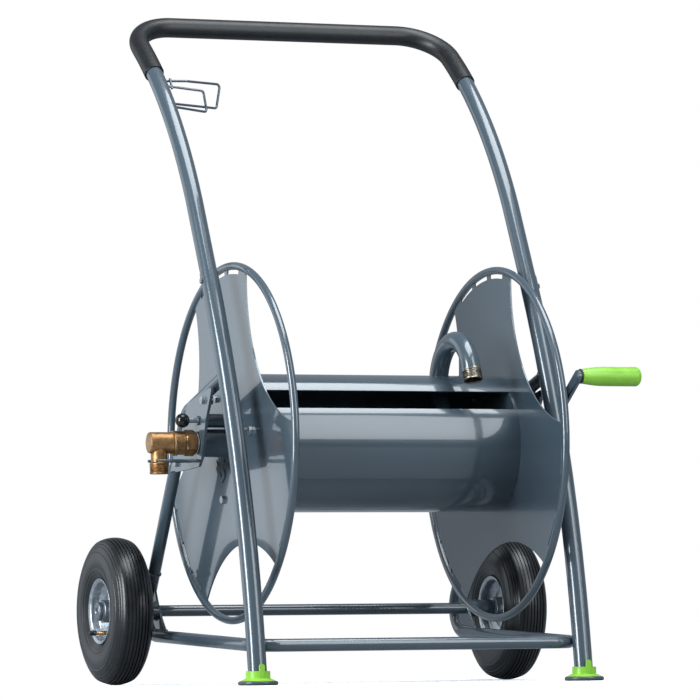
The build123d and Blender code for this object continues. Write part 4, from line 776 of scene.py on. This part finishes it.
def beadMesh(name, points, ring, look, seed):
    # a lumpy rod of overlapping puddles laid along a line
    uneven, endShare = 0.06, 0.4  # as shares of its radius
    path = points + points[:1] if ring else points
    total = lineLength(path, False)
    count = max(4, round(total / (look["step"] * mm)))
    resampled, walked, index = [], 0.0, 0
    for i in range(count + (0 if ring else 1)):
        wanted = total * i / count
        while index < len(path) - 2 and walked + (path[index + 1] - path[index]).length < wanted:
            walked += (path[index + 1] - path[index]).length
            index += 1
        span = (path[index + 1] - path[index]).length or 1
        resampled.append(path[index].lerp(path[index + 1], min(1, (wanted - walked) / span)))
    chance = Random(seed)
    aside = Vector((0.31, 0.52, 0.79))  # any direction that no line follows
    sides, verts, faces = look["sides"], [], []
    last = len(resampled) - 1
    for i, point in enumerate(resampled):
        before = resampled[i - 1] if i or ring else point
        after = resampled[(i + 1) % len(resampled)] if i < last or ring else point
        along = (after - before).normalized()
        across = along.cross(aside).normalized()
        over = along.cross(across)
        phase = i * look["step"] / look["puddle"] % 1
        radius = look["radius"] * (1 + look["lump"] * (0.5 - phase) + chance.uniform(-uneven, uneven))
        if not ring and i in (0, last):
            radius *= endShare
        for k in range(sides):
            angle = 2 * pi * k / sides
            verts.append(point + (across * cos(angle) + over * sin(angle)) * radius * mm)
    rounds = len(resampled) if ring else last
    for i in range(rounds):
        here, there = i * sides, (i + 1) % len(resampled) * sides
        for k in range(sides):
            j = (k + 1) % sides
            faces.append((here + k, here + j, there + j, there + k))
    if not ring:
        faces += [tuple(range(sides))[::-1], tuple(last * sides + k for k in range(sides))]
    return meshPiece(name, verts, faces)


def weld(node, other, keep=1, radius=2.2):
    look = {"radius": radius, "lump": 0.3, "puddle": 4.0, "step": 1.0, "sides": 8, "shortest": 4}
    lines = sorted(contactLines(node, other), key=lambda line: -lineLength(*line))[:keep]
    for index, (points, ring) in enumerate(lines):
        if len(points) > 1 and lineLength(points, ring) > look["shortest"] * mm:
            bead = beadMesh(f"weld_{node}_{other}_{index}", points, ring, look, index + len(node))
            finishPiece(bead, coat, bodyOf(node), smoothAngle=60)
    return len(lines)


def tubeJointShadow(hand):
    # a fine black line round the longest edge where the handle sits in the leg: painted shadow for the narrow
    # gap of the joint
    look = {"radius": 0.7, "lump": 0.0, "puddle": 4.0, "step": 2.0, "sides": 8}
    lines = sorted(contactLines("handle_tube", f"{hand}_leg"), key=lambda line: -lineLength(*line))
    for points, ring in lines[:1]:
        piece = beadMesh(f"{hand}_handle_joint", points, ring, look, 1)
        finishPiece(piece, nylon, "root", smoothAngle=60)


welds = 0
for hand, _ in hands:
    tubeJointShadow(hand)
    welds += weld(f"{hand}_rear_leg", f"{hand}_leg")
    welds += weld(f"{hand}_rear_leg", "base_loop")
    welds += weld(f"{hand}_gusset", "base_loop", 2)
    welds += weld("axle_sleeves", f"{hand}_gusset")
    welds += weld("bearing_tabs", f"{hand}_rear_leg", 4, 1.6)
print("weld beads:", welds)


# stage, lights and camera
def splitByRay(tree, forCamera, forOthers):
    # the camera sees one shader and the reflections and bounces see another
    ray = addNode(tree, "ShaderNodeLightPath").outputs["Is Camera Ray"]
    return addNode(tree, "ShaderNodeMixShader", links={0: ray, 1: forOthers, 2: forCamera}).outputs[0]


def buildFloor():
    look = {"floor": "#f6f6f7", "size": 60.0, "roughness": 0.9, "bounce": "#999da2", "glow": 0.28,
            "fadeStart": 0.8, "fadeEnd": 1.7}  # it fades to white between these two distances in metres
    s, white = look["size"], srgb("#ffffff")
    floor = meshPiece("studio_floor", [(-s, -s, 0), (s, -s, 0), (s, s, 0), (-s, s, 0)], [(0, 1, 2, 3)])
    material, tree, shader, coords = newMaterial("paleFloor", {
        "Base Color": srgb(look["floor"]), "Roughness": look["roughness"], "Emission Color": white,
        "Emission Strength": look["glow"]})
    distance = addNode(tree, "ShaderNodeVectorMath", {"operation": "LENGTH"}, links={0: coords})
    limits = {"From Min": look["fadeStart"], "From Max": look["fadeEnd"]}
    fade = addNode(tree, "ShaderNodeMapRange", {"interpolation_type": "SMOOTHSTEP"}, limits,
                   {"Value": distance.outputs["Value"]})
    far = addNode(tree, "ShaderNodeEmission", inputs={"Color": white, "Strength": 1.0})
    faded = addNode(tree, "ShaderNodeMixShader",
                    links={0: fade.outputs[0], 1: shader.outputs[0], 2: far.outputs[0]})
    dull = addNode(tree, "ShaderNodeBsdfDiffuse", inputs={"Color": srgb(look["bounce"])})
    output = next(n for n in tree.nodes if n.type == "OUTPUT_MATERIAL")
    tree.links.new(splitByRay(tree, faded.outputs[0], dull.outputs[0]), output.inputs["Surface"])
    floor.data.materials.append(material)


def buildRoom():
    look = {"backdrop": "#ffffff", "room": "#d3deea", "roomLight": 0.42}
    world = bpy.data.worlds.new("studioWorld")
    bpy.context.scene.world = world
    world.use_nodes = True
    tree = world.node_tree
    tree.nodes.clear()
    backdrop = addNode(tree, "ShaderNodeBackground",
                       inputs={"Color": srgb(look["backdrop"]), "Strength": 1.0})
    room = addNode(tree, "ShaderNodeBackground",
                   inputs={"Color": srgb(look["room"]), "Strength": look["roomLight"]})
    addNode(tree, "ShaderNodeOutputWorld",
            links={"Surface": splitByRay(tree, backdrop.outputs[0], room.outputs[0])})


def areaLight(name, place, aim, size, power):
    daylight = (0.89, 0.955, 1.0)  # linear, a little bluer than white
    light = bpy.data.lights.new(name, "AREA")
    light.color = daylight
    light.shape = "RECTANGLE"
    light.size, light.size_y = size
    light.energy = power
    holder = bpy.data.objects.new(name, light)
    bpy.context.scene.collection.objects.link(holder)
    holder.location = place
    holder.rotation_mode = "QUATERNION"
    holder.rotation_quaternion = (Vector(aim) - Vector(place)).to_track_quat("-Z", "Y")
    holder.visible_camera = False


def buildCamera():
    view = {"lensMm": 267.13, "sensorMm": 36, "yaw": 21.905, "pitch": 3.2464, "roll": -0.66737,
            "place": (-3.40574, -8.15370, 0.06651), "clip": (0.1, 200)}  # the place is from the datum
    camera = bpy.data.objects.new("camera", bpy.data.cameras.new("camera"))
    bpy.context.scene.collection.objects.link(camera)
    camera.data.lens = view["lensMm"]
    camera.data.sensor_width = view["sensorMm"]
    camera.data.clip_start, camera.data.clip_end = view["clip"]
    yaw, pitch, roll = radians(view["yaw"]), radians(view["pitch"]), radians(view["roll"])
    right = Vector((cos(yaw), -sin(yaw), 0))
    ahead = Vector((sin(yaw) * cos(pitch), cos(yaw) * cos(pitch), sin(pitch)))
    up = right.cross(ahead)
    turnedRight = right * cos(roll) + up * sin(roll)
    turnedUp = up * cos(roll) - right * sin(roll)
    camera.matrix_world = Matrix((
        (turnedRight.x, turnedUp.x, -ahead.x, datum.x + view["place"][0]),
        (turnedRight.y, turnedUp.y, -ahead.y, datum.y + view["place"][1]),
        (turnedRight.z, turnedUp.z, -ahead.z, view["place"][2]),
        (0, 0, 0, 1)))
    bpy.context.scene.camera = camera


buildFloor()
buildRoom()
buildCamera()
aim = datum + Vector((0, 0.25, 0.55))  # about the middle of the cart
lights = {  # name: place from the aim, size, watts
    "leftSoftbox": ((-3.4, -0.85, 0.6), (1.1, 3.2), 200),
    "frontSoftbox": ((0.95, -2.35, 1.35), (1.1, 2.8), 47),
    "rightStrip": ((2.6, -2.9, 0.6), (0.2, 3.2), 12),
    "topSoftbox": ((0.2, -0.6, 3.2), (3.0, 1.8), 125),
    "backPanel": ((-2.0, 1.95, 0.3), (2.4, 2.2), 14),
}
for name, (place, size, power) in lights.items():
    areaLight(name, aim + Vector(place), aim, size, power)
bpy.context.scene.view_settings.view_transform = "Standard"
print("stage, lights and camera ready")
